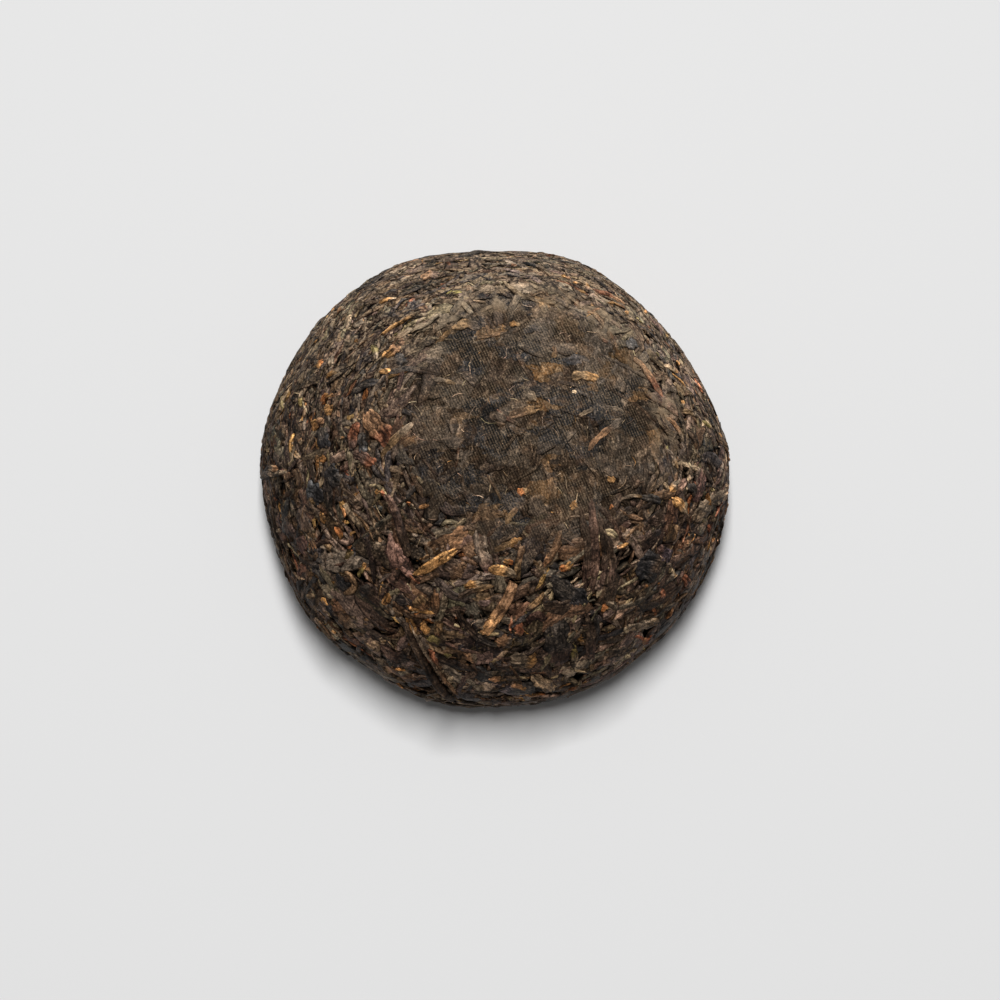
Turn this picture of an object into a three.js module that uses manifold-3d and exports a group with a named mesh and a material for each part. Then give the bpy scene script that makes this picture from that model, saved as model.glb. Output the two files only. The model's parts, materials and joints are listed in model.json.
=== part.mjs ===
// A pu-erh tuocha: a small bowl-shaped cake of compressed tea leaves, dome up, standing on its rim.
// The dome is the side that the pressing cloth covered, and the hollow underneath is where the
// cloth's knot was. The whole cake is one pressed body: strips of rolled leaf, flat leaf pieces,
// buds and twigs lie in its skin and stand a little proud of it.
// Millimetres, +Z up, the origin on the table under the middle of the cake.

import * as THREE from 'three';
import { mergeVertices } from 'three/addons/utils/BufferGeometryUtils.js';
import Module from 'manifold-3d';

// ---- Driving dimensions of the pressed body ----
const RADIUS = 40.4; // from the axis to the widest ring, before the leaves that stand proud
const HEIGHT = 42.4; // from the table to the top of the dome
const WIDEST_Z = 12.5; // height of the widest ring
const FOOT_RADIUS = 29.5; // middle of the rounded rim that the cake stands on
const FOOT_DIP = 0.9; // how far the rounded rim would reach below the table if it weren't pressed flat
const HOLLOW_DEPTH = 21; // from the table to the roof of the hollow
const NAVEL_DEPTH = 3.5; // the dent that the knot's tip left in that roof
const NAVEL_RADIUS = 4.5;

// The shape of the profile's curves, as shares of the span that each curve crosses.
const DOME_CROWN = 0.54; // how flat the crown is
const DOME_FLANK = 0.57; // how upright the flank is
const TUCK = 0.55; // how full the rounding is between the widest ring and the rim
const LIP = 0.3; // how round the hollow's lip is
const ROOF = 0.62; // how wide the hollow's roof is

// The outline isn't a true circle: [waves round the cake, height of the wave, degrees to its crest].
const LOBES = [
  [2, 0.55, -41],
  [3, 0.3, 3],
  [4, 0.3, -12],
  [5, 0.22, -10],
];
// Low swells left by uneven packing: [waves per 100 mm along X, Y, Z, height, degrees of phase].
const SWELLS = [
  [2.1, 1.4, 1.0, 0.3, 20],
  [-1.3, 2.6, 1.7, 0.25, 75],
  [3.9, -2.8, 2.2, 0.16, 140],
  [-3.1, -4.2, 3.6, 0.14, 250],
];
const PLEATS = 9; // folds of the gathered cloth, printed in the hollow's wall
const PLEAT_HEIGHT = 0.7;
const PLEAT_TWIST = 50; // degrees that the folds turn between the lip and the roof

const BALL_DETAIL = 10; // steps along each edge of the icosahedron that the skin is made from
const PROFILE_STEPS = 400;
const HOLLOW_FOCUS_Z = -12; // a point on the axis from which the whole of the hollow's skin is seen
const TABLE_SLAB = 10; // thickness of the block that is cut away below the table
const WELD = 1e-4; // vertices closer than this are one

// ---- Driving dimensions of the leaves that show ----
const SINK = 0.35; // how deep a leaf's edges are pressed in
const ROOT = 1.3; // how deep its underside lies
const LEAF_STEPS = 4; // stretches that a leaf is divided into along its midrib

// Sections across a leaf: [place across it from -1 to 1, share of the leaf's lift].
const SECTIONS = {
  strip: [[-1, -1], [0, 1], [1, -1]],
  bud: [[-1, -1], [0, 1], [1, -1]],
  twig: [[-1, -1], [-0.55, 1], [0.55, 1], [1, -1]],
  leaf: [[-1, -1], [-0.75, 1], [0, 0.7], [0.75, 1], [1, -1]],
};
// How a leaf's width runs from tip to tip: the power of a half sine, so 0.2 is blunt and 1 is pointed.
const TAPER = { strip: 0.6, bud: 0.85, twig: 0, leaf: 0.35 };

// The scattered leaves: how many lie on each side, and the share of each kind among them.
const SCATTERED = { outside: 132, hollow: 12 };
const MIX = { strip: 0.4, bud: 0.1, twig: 0.12, leaf: 0.38 };
const WIDTH = { strip: 2, bud: 2.2, twig: 1.8, leaf: 4.6 };
const WIDTH_SPREAD = [0.85, 1.25];
const LENGTH_SPREAD = [8, 15];
const HOLLOW_LENGTH = 0.8; // the share of that length that a leaf has in the hollow
const MOST_BOW = 0.12; // of its length
const LIFT = { crown: 0.35, flank: 0.8, hollow: 0.575 };
const SMOOTH_CROWN = [0.35, 0.85]; // shares of the radius between which the skin turns rough
const GOLDEN_ANGLE = Math.PI * (3 - Math.sqrt(5));
// Steps of sequences whose fractions fill the range from 0 to 1 evenly, one for each trait.
const PACE = { kind: 0.7548777, size: 0.5698403, heading: 0.4142136, width: 0.618034, bow: 0.3247 };
const FIRST_HEADING = 0.3; // of a full turn
const CLEAR_OF_NAMED = 3.4; // a scattered leaf keeps this far from the middle of a named one
const CLEAR_OF_TABLE = 2.6; // and its own middle at least this high

// The pieces that catch the eye, seen from above: from and to are the ends of the midrib on the dome,
// bow is how far its middle swings to the left of that line, lift is how far it stands proud.
const NAMED_LEAVES = [
  { kind: 'leaf', from: [15.7, -5], to: [17.2, -24.2], width: 4.4, bow: 0, lift: 0.8 },
  { kind: 'leaf', from: [19.4, -14.7], to: [20.2, -22.6], width: 2.2, bow: 0.3, lift: 0.6 },
  { kind: 'leaf', from: [8.5, -21], to: [14.5, -25.5], width: 4.6, bow: 0.4, lift: 0.6 },
  { kind: 'leaf', from: [10.8, -26.5], to: [10.9, -35.2], width: 5.4, bow: 0, lift: 0.7 },
  { kind: 'leaf', from: [24.4, -17.6], to: [30, -18.6], width: 4.2, bow: 0.3, lift: 0.8 },
  { kind: 'leaf', from: [6, -36.3], to: [10, -38.4], width: 2.6, bow: 0.3, lift: 0.9 },
  { kind: 'leaf', from: [22.2, -29.2], to: [29.3, -26.5], width: 2.2, bow: 0.8, lift: 0.8 },
  { kind: 'leaf', from: [13.2, 13.3], to: [18.8, 13.2], width: 2, bow: 0.2, lift: 0.5 },
  { kind: 'leaf', from: [-22.2, 7], to: [-18.6, 0.6], width: 2.8, bow: 0.9, lift: 0.6 },
  { kind: 'leaf', from: [-19, 16.5], to: [-15.2, 18.6], width: 2, bow: 0.2, lift: 0.6 },
  { kind: 'bud', from: [-14.4, -21.3], to: [-5.3, -16.2], width: 2.1, bow: -0.4, lift: 0.75 },
  { kind: 'bud', from: [-1.6, -20.2], to: [4.4, -21.2], width: 2, bow: 0.4, lift: 0.7 },
  { kind: 'bud', from: [-17.9, -23.5], to: [-19.5, -26], width: 1.5, bow: 0, lift: 0.7 },
  { kind: 'bud', from: [28.7, -6], to: [32.9, -9], width: 1.9, bow: -0.5, lift: 0.8 },
  { kind: 'twig', from: [-19.1, -7.5], to: [-15.1, -18.2], width: 1.9, bow: 0.5, lift: 0.8 },
  { kind: 'twig', from: [-1.8, -30.3], to: [3.4, -22.3], width: 2.1, bow: 0, lift: 1 },
  { kind: 'twig', from: [3.7, -21.6], to: [5, -16.2], width: 1.2, bow: 0.2, lift: 0.7 },
  { kind: 'twig', from: [16.3, 0.1], to: [22.7, 6.9], width: 1.1, bow: 0.5, lift: 0.5 },
  { kind: 'strip', from: [-14.1, -30.3], to: [-7.8, -39], width: 1.6, bow: 0, lift: 0.8 },
  { kind: 'strip', from: [-7, -24], to: [1, -32.5], width: 1.4, bow: -1.4, lift: 0.8 },
  { kind: 'strip', from: [25.1, 19.2], to: [29.6, 10.6], width: 1.7, bow: 0.7, lift: 0.7 },
  { kind: 'strip', from: [-20.3, 21.3], to: [-11.7, 26.7], width: 1.3, bow: -0.5, lift: 0.6 },
  { kind: 'strip', from: [-18.8, -0.8], to: [-13.2, 5.9], width: 1.3, bow: 0, lift: 0.5 },
  { kind: 'strip', from: [-19.3, 13.9], to: [-9.5, 12.7], width: 1.3, bow: 0.6, lift: 0.5 },
  { kind: 'strip', from: [14.3, 5.9], to: [23.2, 7.9], width: 1, bow: 1, lift: 0.45 },
  { kind: 'strip', from: [35.1, 0.9], to: [37.7, -3.4], width: 1.1, bow: 0, lift: 0.7 },
];

const degrees = THREE.MathUtils.degToRad;
const fraction = (value) => value - Math.floor(value);
const within = ([least, most], share) => THREE.MathUtils.lerp(least, most, share);

// ---- The profile: half a section through the cake, from the crown round the rim to the hollow's roof ----
function makeProfile() {
  const path = new THREE.Path();
  const flankSpan = WIDEST_Z + FOOT_DIP;
  const tuckSpan = RADIUS - FOOT_RADIUS;
  path.moveTo(0, HEIGHT);
  path.bezierCurveTo(
    RADIUS * DOME_CROWN, HEIGHT,
    RADIUS, WIDEST_Z + (HEIGHT - WIDEST_Z) * DOME_FLANK,
    RADIUS, WIDEST_Z,
  );
  path.bezierCurveTo(
    RADIUS, WIDEST_Z - flankSpan * TUCK,
    FOOT_RADIUS + tuckSpan * TUCK, -FOOT_DIP,
    FOOT_RADIUS, -FOOT_DIP,
  );
  path.bezierCurveTo(
    FOOT_RADIUS * (1 - LIP), -FOOT_DIP,
    FOOT_RADIUS * ROOF, HOLLOW_DEPTH,
    0, HOLLOW_DEPTH,
  );
  const points = path.getSpacedPoints(PROFILE_STEPS);
  let area = 0;
  const samples = points.map((point, i) => {
    const before = points[Math.max(i - 1, 0)];
    const after = points[Math.min(i + 1, PROFILE_STEPS)];
    const along = after.clone().sub(before).normalize();
    if (i > 0) area += point.distanceTo(before) * (point.x + before.x) * Math.PI;
    return { r: point.x, z: point.y, normalR: -along.y, normalZ: along.x, area };
  });
  return samples.map((s) => ({ ...s, share: s.area / area }));
}
const PROFILE = makeProfile();
const FOOT_INDEX = PROFILE.reduce((low, s, i) => (s.z < PROFILE[low].z ? i : low), 0);
const OUTSIDE = PROFILE.slice(0, FOOT_INDEX + 1);
const HOLLOW = PROFILE.slice(FOOT_INDEX).reverse();

// The sample of a run of the profile where a key, which rises along the run, reaches a value.
function sampleAt(run, key, value) {
  let low = 0;
  let high = run.length - 1;
  while (high - low > 1) {
    const middle = (low + high) >> 1;
    if (key(run[middle]) > value) high = middle;
    else low = middle;
  }
  const span = key(run[high]) - key(run[low]);
  const mix = THREE.MathUtils.clamp((value - key(run[low])) / (span || 1), 0, 1);
  const blend = (name) => THREE.MathUtils.lerp(run[low][name], run[high][name], mix);
  return { r: blend('r'), z: blend('z'), normalR: blend('normalR'), normalZ: blend('normalZ') };
}

// ---- The skin: the profile turned round the axis, with the lobes, swells and pleats added ----
function skinPoint({ r, z }, turn, inHollow) {
  const reach = r / RADIUS;
  let stretch = 1;
  for (const [waves, height, crest] of LOBES) {
    stretch += (height / RADIUS) * reach * reach * Math.cos(waves * (turn - degrees(crest)));
  }
  const point = new THREE.Vector3(r * stretch * Math.cos(turn), r * stretch * Math.sin(turn), z);
  let swell = 0;
  for (const [x, y, up, height, phase] of SWELLS) {
    const cycles = (x * point.x + y * point.y + up * point.z) / 100;
    swell += height * Math.sin(2 * Math.PI * cycles + degrees(phase));
  }
  // The rim is pressed flat on the table, so the swells die out towards it.
  const offTable = THREE.MathUtils.smoothstep(z, 0, WIDEST_Z);
  if (inHollow) {
    const rise = THREE.MathUtils.clamp(z / HOLLOW_DEPTH, 0, 1);
    const folds = Math.sin(PLEATS * turn + degrees(PLEAT_TWIST) * rise * PLEATS);
    const depth = PLEAT_HEIGHT * Math.sin(Math.PI * rise) * folds;
    point.z += depth + NAVEL_DEPTH * Math.exp(-((r / NAVEL_RADIUS) ** 2));
    return point;
  }
  const away = new THREE.Vector3(point.x, point.y, point.z - WIDEST_Z).normalize();
  return point.addScaledVector(away, swell * offTable);
}

// The point of the skin that lies on the line from a focus on the axis through a given point.
const FOCUS = {
  outside: { z: WIDEST_Z, run: OUTSIDE, angle: (s) => Math.atan2(s.r, s.z - WIDEST_Z) },
  hollow: { z: HOLLOW_FOCUS_Z, run: HOLLOW, angle: (s) => Math.atan2(s.r, s.z - HOLLOW_FOCUS_Z) },
};
function onSkin(point, side) {
  const focus = FOCUS[side];
  const turn = Math.atan2(point.y, point.x);
  const wanted = Math.atan2(Math.hypot(point.x, point.y), point.z - focus.z);
  const sample = sampleAt(focus.run, focus.angle, wanted);
  const normal = new THREE.Vector3(
    sample.normalR * Math.cos(turn),
    sample.normalR * Math.sin(turn),
    sample.normalZ,
  ).normalize();
  return { point: skinPoint(sample, turn, side === 'hollow'), normal };
}

// ---- Closed solids, to be joined and cut ----
const wasm = await Module();
wasm.setup();

function solidFrom(geometry) {
  const bare = new THREE.BufferGeometry();
  bare.setAttribute('position', geometry.getAttribute('position').clone());
  if (geometry.index) bare.setIndex(geometry.index.clone());
  const merged = mergeVertices(bare, WELD);
  const solid = new wasm.Manifold(new wasm.Mesh({
    numProp: 3,
    vertProperties: new Float32Array(merged.attributes.position.array),
    triVerts: new Uint32Array(merged.index.array),
  }));
  if (solid.volume() <= 0) throw new Error('a piece is inside out');
  return solid;
}

function geometryFrom(solid) {
  const mesh = solid.getMesh();
  const geometry = new THREE.BufferGeometry();
  geometry.setAttribute('position', new THREE.BufferAttribute(mesh.vertProperties, 3));
  geometry.setIndex(new THREE.BufferAttribute(mesh.triVerts, 1));
  return geometry;
}

// The body: a ball whose rings slide along the profile so that equal areas stay equal.
function makeBody() {
  const ball = new THREE.IcosahedronGeometry(1, BALL_DETAIL);
  const position = ball.getAttribute('position');
  const direction = new THREE.Vector3();
  for (let i = 0; i < position.count; i++) {
    direction.fromBufferAttribute(position, i).normalize();
    // The ball's first pole stands on its Y axis, which becomes the cake's Z axis.
    const share = (1 - direction.y) / 2;
    const turn = Math.atan2(-direction.z, direction.x);
    const inHollow = share > PROFILE[FOOT_INDEX].share;
    const point = skinPoint(sampleAt(PROFILE, (s) => s.share, share), turn, inHollow);
    position.setXYZ(i, point.x, point.y, point.z);
  }
  return solidFrom(ball);
}

// One leaf, strip, bud or twig lying along the skin between two points, as a closed solid.
function makeLeaf({ kind, side, from, to, width, bow, lift }) {
  const section = SECTIONS[kind];
  const span = to.clone().sub(from);
  const pointed = TAPER[kind] > 0;
  const vertices = [];
  const rings = [];
  const place = (point) => vertices.push(point.x, point.y, point.z) / 3 - 1;
  for (let i = 0; i <= LEAF_STEPS; i++) {
    const along = i / LEAF_STEPS;
    const swing = Math.sin(Math.PI * along);
    const line = from.clone().addScaledVector(span, along);
    const { normal } = onSkin(line, side);
    const across = normal.clone().cross(span).normalize();
    const middle = onSkin(line.addScaledVector(across, bow * swing), side);
    if (pointed && (i === 0 || i === LEAF_STEPS)) {
      rings.push([place(middle.point.addScaledVector(middle.normal, -SINK))]);
      continue;
    }
    const halfWidth = (width / 2) * (pointed ? swing ** TAPER[kind] : 1);
    const rise = lift * (pointed ? 0.5 + 0.5 * swing : 1);
    const ring = section.map(([offset, share]) => {
      const spot = middle.point.clone().addScaledVector(across, halfWidth * offset);
      const foot = onSkin(spot, side);
      return place(foot.point.addScaledVector(foot.normal, share < 0 ? -SINK : rise * share));
    });
    ring.push(place(middle.point.clone().addScaledVector(middle.normal, -ROOT)));
    rings.push(ring);
  }
  const faces = [];
  for (let i = 0; i < LEAF_STEPS; i++) {
    const [near, far] = [rings[i], rings[i + 1]];
    const count = Math.max(near.length, far.length);
    for (let j = 0; j < count; j++) {
      const next = (j + 1) % count;
      if (near.length === 1) faces.push(near[0], far[j], far[next]);
      else if (far.length === 1) faces.push(near[j], far[0], near[next]);
      else faces.push(near[j], far[next], near[next], near[j], far[j], far[next]);
    }
  }
  if (!pointed) {
    const last = rings[LEAF_STEPS];
    for (let j = 1; j < last.length - 1; j++) {
      faces.push(rings[0][0], rings[0][j], rings[0][j + 1], last[0], last[j + 1], last[j]);
    }
  }
  const geometry = new THREE.BufferGeometry();
  geometry.setAttribute('position', new THREE.Float32BufferAttribute(vertices, 3));
  geometry.setIndex(faces);
  return solidFrom(geometry);
}

// The named leaves, with their ends dropped from above on to the dome.
function namedLeaves() {
  const dome = OUTSIDE.filter((s) => s.z >= WIDEST_Z);
  const drop = ([x, y]) => {
    const sample = sampleAt(dome, (s) => s.r, Math.hypot(x, y));
    return onSkin(new THREE.Vector3(x, y, sample.z), 'outside').point;
  };
  return NAMED_LEAVES.map((leaf) => ({
    ...leaf, side: 'outside', from: drop(leaf.from), to: drop(leaf.to),
  }));
}

// The kind whose stretch of the mix holds a share from 0 to 1.
function kindAt(share) {
  let reached = 0;
  for (const [kind, part] of Object.entries(MIX)) {
    reached += part;
    if (share < reached) return kind;
  }
  return 'leaf';
}

function liesOnNamed(point, named) {
  const closest = new THREE.Vector3();
  return named.some((leaf) => {
    new THREE.Line3(leaf.from, leaf.to).closestPointToPoint(point, true, closest);
    return closest.distanceTo(point) < CLEAR_OF_NAMED;
  });
}

// The scattered leaves: a golden-angle spiral spreads them evenly over the skin, and their kind,
// heading and size follow sequences of fractions that never fall into step with it.
function scatteredLeaves(side, count, named) {
  const inHollow = side === 'hollow';
  const run = FOCUS[side].run.filter((s) => s.z > CLEAR_OF_TABLE);
  if (inHollow) run.reverse();
  const ends = [run[0].share, run[run.length - 1].share];
  const leaves = [];
  for (let i = 0; i < count; i++) {
    const turn = i * GOLDEN_ANGLE;
    const spot = sampleAt(run, (s) => s.share, within(ends, (i + 0.5) / count));
    const above = new THREE.Vector3(spot.r * Math.cos(turn), spot.r * Math.sin(turn), spot.z);
    const { point, normal } = onSkin(above, side);
    if (liesOnNamed(point, named)) continue;
    const kind = kindAt(fraction(i * PACE.kind));
    const length = within(LENGTH_SPREAD, fraction(i * PACE.size)) * (inHollow ? HOLLOW_LENGTH : 1);
    const heading = 2 * Math.PI * fraction(i * PACE.heading + FIRST_HEADING);
    // The crown is pressed smooth by the cloth, and the flank stays rough.
    const roughness = THREE.MathUtils.smoothstep(spot.r / RADIUS, ...SMOOTH_CROWN);
    const east = new THREE.Vector3(-Math.sin(turn), Math.cos(turn), 0);
    const north = normal.clone().cross(east);
    const half = east.multiplyScalar(Math.cos(heading)).addScaledVector(north, Math.sin(heading))
      .multiplyScalar(length / 2);
    leaves.push({
      kind,
      side,
      width: WIDTH[kind] * within(WIDTH_SPREAD, fraction(i * PACE.width)),
      bow: length * within([-MOST_BOW, MOST_BOW], fraction(i * PACE.bow)),
      lift: inHollow ? LIFT.hollow : within([LIFT.crown, LIFT.flank], roughness),
      from: point.clone().sub(half),
      to: point.clone().add(half),
    });
  }
  return leaves;
}

function makeTuocha() {
  const named = namedLeaves();
  const leaves = [
    ...named,
    ...scatteredLeaves('outside', SCATTERED.outside, named),
    ...scatteredLeaves('hollow', SCATTERED.hollow, []),
  ];
  let cake = makeBody();
  for (const leaf of leaves) cake = cake.add(makeLeaf(leaf));
  // The table side is pressed flat: everything below it is cut away.
  const slab = new THREE.BoxGeometry(4 * RADIUS, 4 * RADIUS, TABLE_SLAB);
  slab.translate(0, 0, -TABLE_SLAB / 2);
  cake = cake.subtract(solidFrom(slab));
  const geometry = geometryFrom(cake);
  geometry.computeBoundingBox();
  const middle = geometry.boundingBox.getCenter(new THREE.Vector3());
  geometry.translate(-middle.x, -middle.y, -geometry.boundingBox.min.z);
  return geometry;
}

const PRESSED_TEA = new THREE.MeshStandardMaterial({ color: 0x4b3f34, roughness: 0.8, metalness: 0 });

const tuocha = new THREE.Mesh(makeTuocha(), PRESSED_TEA);
tuocha.name = 'tuocha';

const group = new THREE.Group();
group.add(tuocha);
export default group;
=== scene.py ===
"""The looks of a pressed tea cake: a small bowl of compressed leaves, dome up, standing on its rim.

The cake is built as a real one is. A core of packed tea dust holds the form, and rolled strips, flat
leaves, buds, stems and crumbs lie in its skin by the thousand. The cloth that the cake was pressed in
left the middle of the dome smooth, with the print of its threads, and the flanks stayed rough.
Lengths are in millimetres until a mesh is made.
"""

import json
import math

import bpy
import numpy as np
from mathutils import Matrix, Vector

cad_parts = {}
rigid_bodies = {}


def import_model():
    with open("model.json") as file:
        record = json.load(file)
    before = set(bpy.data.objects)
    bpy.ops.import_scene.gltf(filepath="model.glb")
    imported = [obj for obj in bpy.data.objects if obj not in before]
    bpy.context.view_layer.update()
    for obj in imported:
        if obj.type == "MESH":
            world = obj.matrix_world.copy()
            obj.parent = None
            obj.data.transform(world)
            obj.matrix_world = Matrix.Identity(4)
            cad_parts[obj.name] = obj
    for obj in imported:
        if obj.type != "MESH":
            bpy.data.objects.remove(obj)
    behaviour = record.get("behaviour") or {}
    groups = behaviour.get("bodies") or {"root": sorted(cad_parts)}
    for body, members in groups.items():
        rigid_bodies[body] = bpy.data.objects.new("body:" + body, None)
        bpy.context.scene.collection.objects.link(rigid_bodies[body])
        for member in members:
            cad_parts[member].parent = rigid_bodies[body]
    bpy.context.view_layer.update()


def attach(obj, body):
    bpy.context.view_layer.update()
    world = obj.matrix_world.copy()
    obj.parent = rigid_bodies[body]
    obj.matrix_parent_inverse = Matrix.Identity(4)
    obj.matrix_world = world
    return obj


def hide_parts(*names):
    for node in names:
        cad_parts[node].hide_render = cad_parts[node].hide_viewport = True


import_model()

MM = 0.001
NODE = "tuocha"
BODY = "root"

# ---- The pressed body, in the CAD's own driving dimensions ----
RADIUS = 40.4
HEIGHT = 42.4
WIDEST_Z = 12.5
FOOT_RADIUS = 29.5
FOOT_DIP = 0.9
HOLLOW_DEPTH = 21.0
NAVEL_DEPTH = 3.5
NAVEL_RADIUS = 4.5
DOME_CROWN, DOME_FLANK, TUCK, LIP, ROOF = 0.54, 0.57, 0.55, 0.3, 0.62
# Waves round the cake, height of the wave, degrees to its crest.
LOBES = ((2, 0.55, -41), (3, 0.3, 3), (4, 0.3, -12), (5, 0.22, -10))
# Waves per 100 mm along X, Y and Z, height, degrees of phase.
SWELLS = (
    (2.1, 1.4, 1.0, 0.3, 20),
    (-1.3, 2.6, 1.7, 0.25, 75),
    (3.9, -2.8, 2.2, 0.16, 140),
    (-3.1, -4.2, 3.6, 0.14, 250),
)
PLEATS, PLEAT_HEIGHT, PLEAT_TWIST = 9, 0.7, 50
HOLLOW_FOCUS_Z = -12.0
CENTRED = np.array([0.193, -0.173, 0.0])  # where the middle of the outline lies in the skin's own frame
CURVE_STEPS = 400

# The middle of the dome, pressed smooth by the cloth: its place in plan, the radius within which it is
# smooth and the one beyond which the skin is rough.
SMOOTH_MIDDLE = np.array([5.6, 3.4])
SMOOTH_INNER, SMOOTH_OUTER = 17.0, 25.5
UPHILL = (0.5, 0.85)  # in plan, towards the side where the cloth's print reaches further
UPHILL_FROM, UPHILL_TO, UPHILL_REACH = -4.0, 14.0, 3.5
SHOULDER = 25.0  # from the middle of the print to the pale ridge round its upper and right sides
# The side of the dome with the coarse leaves and the deep gaps: y in plan.
COARSE_FROM, COARSE_TO = -7.0, -19.0
COARSE_PAINTED_FILL = 0.3  # the natural logarithm of how much lighter they are, a painted fill light on this lower side

# ---- Colours, as sRGB numbers from 0 to 255 ----
PALETTE = {
    # Painted shade: the colour that deep gaps are darkened towards.
    "painted_gap_shade": (20, 15, 11),
    "blue_black": (39, 40, 43),
    "black_brown": (38, 30, 25),
    "umber": (55, 43, 35),
    "plum": (80, 61, 53),
    "brown": (84, 63, 46),
    "grey_brown": (82, 71, 62),
    "tan_grey": (110, 94, 78),
    "tan": (134, 113, 90),
    "pale": (168, 146, 118),
    "slate": (72, 73, 75),
    "red_brown": (112, 68, 48),
    "wood": (132, 97, 70),
    # Painted light: straw is set lighter than the twig's own tip, which faces away from the lamps.
    "straw": (238, 178, 122),
    "char": (46, 43, 41),
    "dull_gold": (108, 84, 58),
    "ochre": (142, 102, 60),
    "gold": (182, 134, 84),
    "olive": (128, 112, 70),
    "orange": (156, 96, 54),
}
BRIGHTEN = 0.86  # from the colours as lit in the photo to those of the leaves themselves


def smoothstep(value, low, high):
    """0 below low, 1 above high and an S between them; low may be the larger one."""
    share = np.clip((value - low) / (high - low), 0, 1)
    return share * share * (3 - 2 * share)


def blend(a, b, share):
    """a where share is 0, b where it is 1."""
    return a + (b - a) * share


def unit(vectors):
    """The same directions with length 1."""
    return vectors / np.maximum(np.linalg.norm(vectors, axis=-1, keepdims=True), 1e-9)


def linear(colour):
    """An sRGB colour from 0 to 255 as linear light."""
    share = np.asarray(colour, float) / 255
    return np.where(share <= 0.04045, share / 12.92, ((share + 0.055) / 1.055) ** 2.4)


def ripples(points, size, seed, waves=18):
    """A smooth random field: the sum of plane waves in random directions, whose lengths lie round
    size. It runs from about -1 to 1."""
    draw = np.random.default_rng(seed)
    directions = unit(draw.normal(size=(waves, 3))) * draw.uniform(0.7, 1.5, (waves, 1))
    phases = draw.uniform(0, 2 * np.pi, waves)
    angles = points @ directions.T * (2 * np.pi / size) + phases
    return np.sin(angles).sum(-1) / math.sqrt(waves / 2) / 1.6


# ---- The skin ----
def bezier(a, b, c, d):
    """Points of the cubic curve that leaves a towards b and reaches d from c."""
    t = np.linspace(0, 1, CURVE_STEPS)[:, None]
    a, b, c, d = (np.array(p, float) for p in (a, b, c, d))
    return a * (1 - t) ** 3 + 3 * b * t * (1 - t) ** 2 + 3 * c * t * t * (1 - t) + d * t**3


def make_profile():
    """Half a section of the cake: crown to widest ring, widest ring to rim, rim to hollow's roof. Each
    sample has its radius, height, outward normal and the share of the skin's area that lies before it."""
    flank = WIDEST_Z + FOOT_DIP
    tuck = RADIUS - FOOT_RADIUS
    crown = bezier(
        (0, HEIGHT),
        (RADIUS * DOME_CROWN, HEIGHT),
        (RADIUS, WIDEST_Z + (HEIGHT - WIDEST_Z) * DOME_FLANK),
        (RADIUS, WIDEST_Z),
    )
    shoulder = bezier(
        (RADIUS, WIDEST_Z),
        (RADIUS, WIDEST_Z - flank * TUCK),
        (FOOT_RADIUS + tuck * TUCK, -FOOT_DIP),
        (FOOT_RADIUS, -FOOT_DIP),
    )
    hollow = bezier(
        (FOOT_RADIUS, -FOOT_DIP),
        (FOOT_RADIUS * (1 - LIP), -FOOT_DIP),
        (FOOT_RADIUS * ROOF, HOLLOW_DEPTH),
        (0, HOLLOW_DEPTH),
    )
    line = np.concatenate([crown, shoulder[1:], hollow[1:]])
    along = unit(np.gradient(line, axis=0))
    step = np.linalg.norm(np.diff(line, axis=0), axis=1)
    band = step * (line[1:, 0] + line[:-1, 0])
    area = np.concatenate([[0], np.cumsum(band)])
    return {
        "r": line[:, 0],
        "z": line[:, 1],
        "normal_r": -along[:, 1],
        "normal_z": along[:, 0],
        "share": area / area[-1],
    }


PROFILE = make_profile()
PLACE_KEYS = ("r", "z", "normal_r", "normal_z")
FOOT = int(np.argmin(PROFILE["z"]))
FOOT_SHARE = PROFILE["share"][FOOT]
RUNS = {
    "outside": {key: values[: FOOT + 1] for key, values in PROFILE.items()},
    "hollow": {key: values[FOOT:][::-1] for key, values in PROFILE.items()},
}
FOCUS_Z = {"outside": WIDEST_Z, "hollow": HOLLOW_FOCUS_Z}


def turned(radius, height, turn, in_hollow):
    """The profile turned round the axis. Lobes stretch the radius by the square of its reach, swells
    push the outside away from the middle of the widest ring, and pleats lift the hollow's wall."""
    reach = radius / RADIUS
    stretch = np.ones_like(radius)
    for waves, wave_height, crest in LOBES:
        stretch += wave_height / RADIUS * reach**2 * np.cos(waves * (turn - math.radians(crest)))
    x = radius * stretch * np.cos(turn)
    y = radius * stretch * np.sin(turn)
    points = np.stack([x, y, height], -1)
    swell = np.zeros_like(radius)
    for along_x, along_y, along_z, wave_height, phase in SWELLS:
        cycles = (along_x * x + along_y * y + along_z * height) / 100
        swell += wave_height * np.sin(2 * np.pi * cycles + math.radians(phase))
    away = unit(points - (0, 0, WIDEST_Z))
    outside = points + away * (swell * smoothstep(height, 0, WIDEST_Z))[..., None]
    rise = np.clip(height / HOLLOW_DEPTH, 0, 1)
    folds = np.sin(PLEATS * (turn + math.radians(PLEAT_TWIST) * rise))
    lift = PLEAT_HEIGHT * np.sin(np.pi * rise) * folds
    lift = lift + NAVEL_DEPTH * np.exp(-((radius / NAVEL_RADIUS) ** 2))
    inside = points + np.stack([0 * lift, 0 * lift, lift], -1)
    return np.where(np.asarray(in_hollow)[..., None], inside, outside)


def outward(found, turn):
    """The outward normals of samples of the profile, turned round the axis."""
    reach = found["normal_r"]
    return unit(np.stack([reach * np.cos(turn), reach * np.sin(turn), found["normal_z"]], -1))


def on_skin(points, side):
    """The skin's point and outward normal on the line from a focus on the axis through each point."""
    run = RUNS[side]
    focus = FOCUS_Z[side]
    angles = np.arctan2(run["r"], run["z"] - focus)
    turn = np.arctan2(points[..., 1], points[..., 0])
    wanted = np.arctan2(np.hypot(points[..., 0], points[..., 1]), points[..., 2] - focus)
    found = {key: np.interp(wanted, angles, run[key]) for key in PLACE_KEYS}
    return turned(found["r"], found["z"], turn, side == "hollow"), outward(found, turn)


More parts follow.
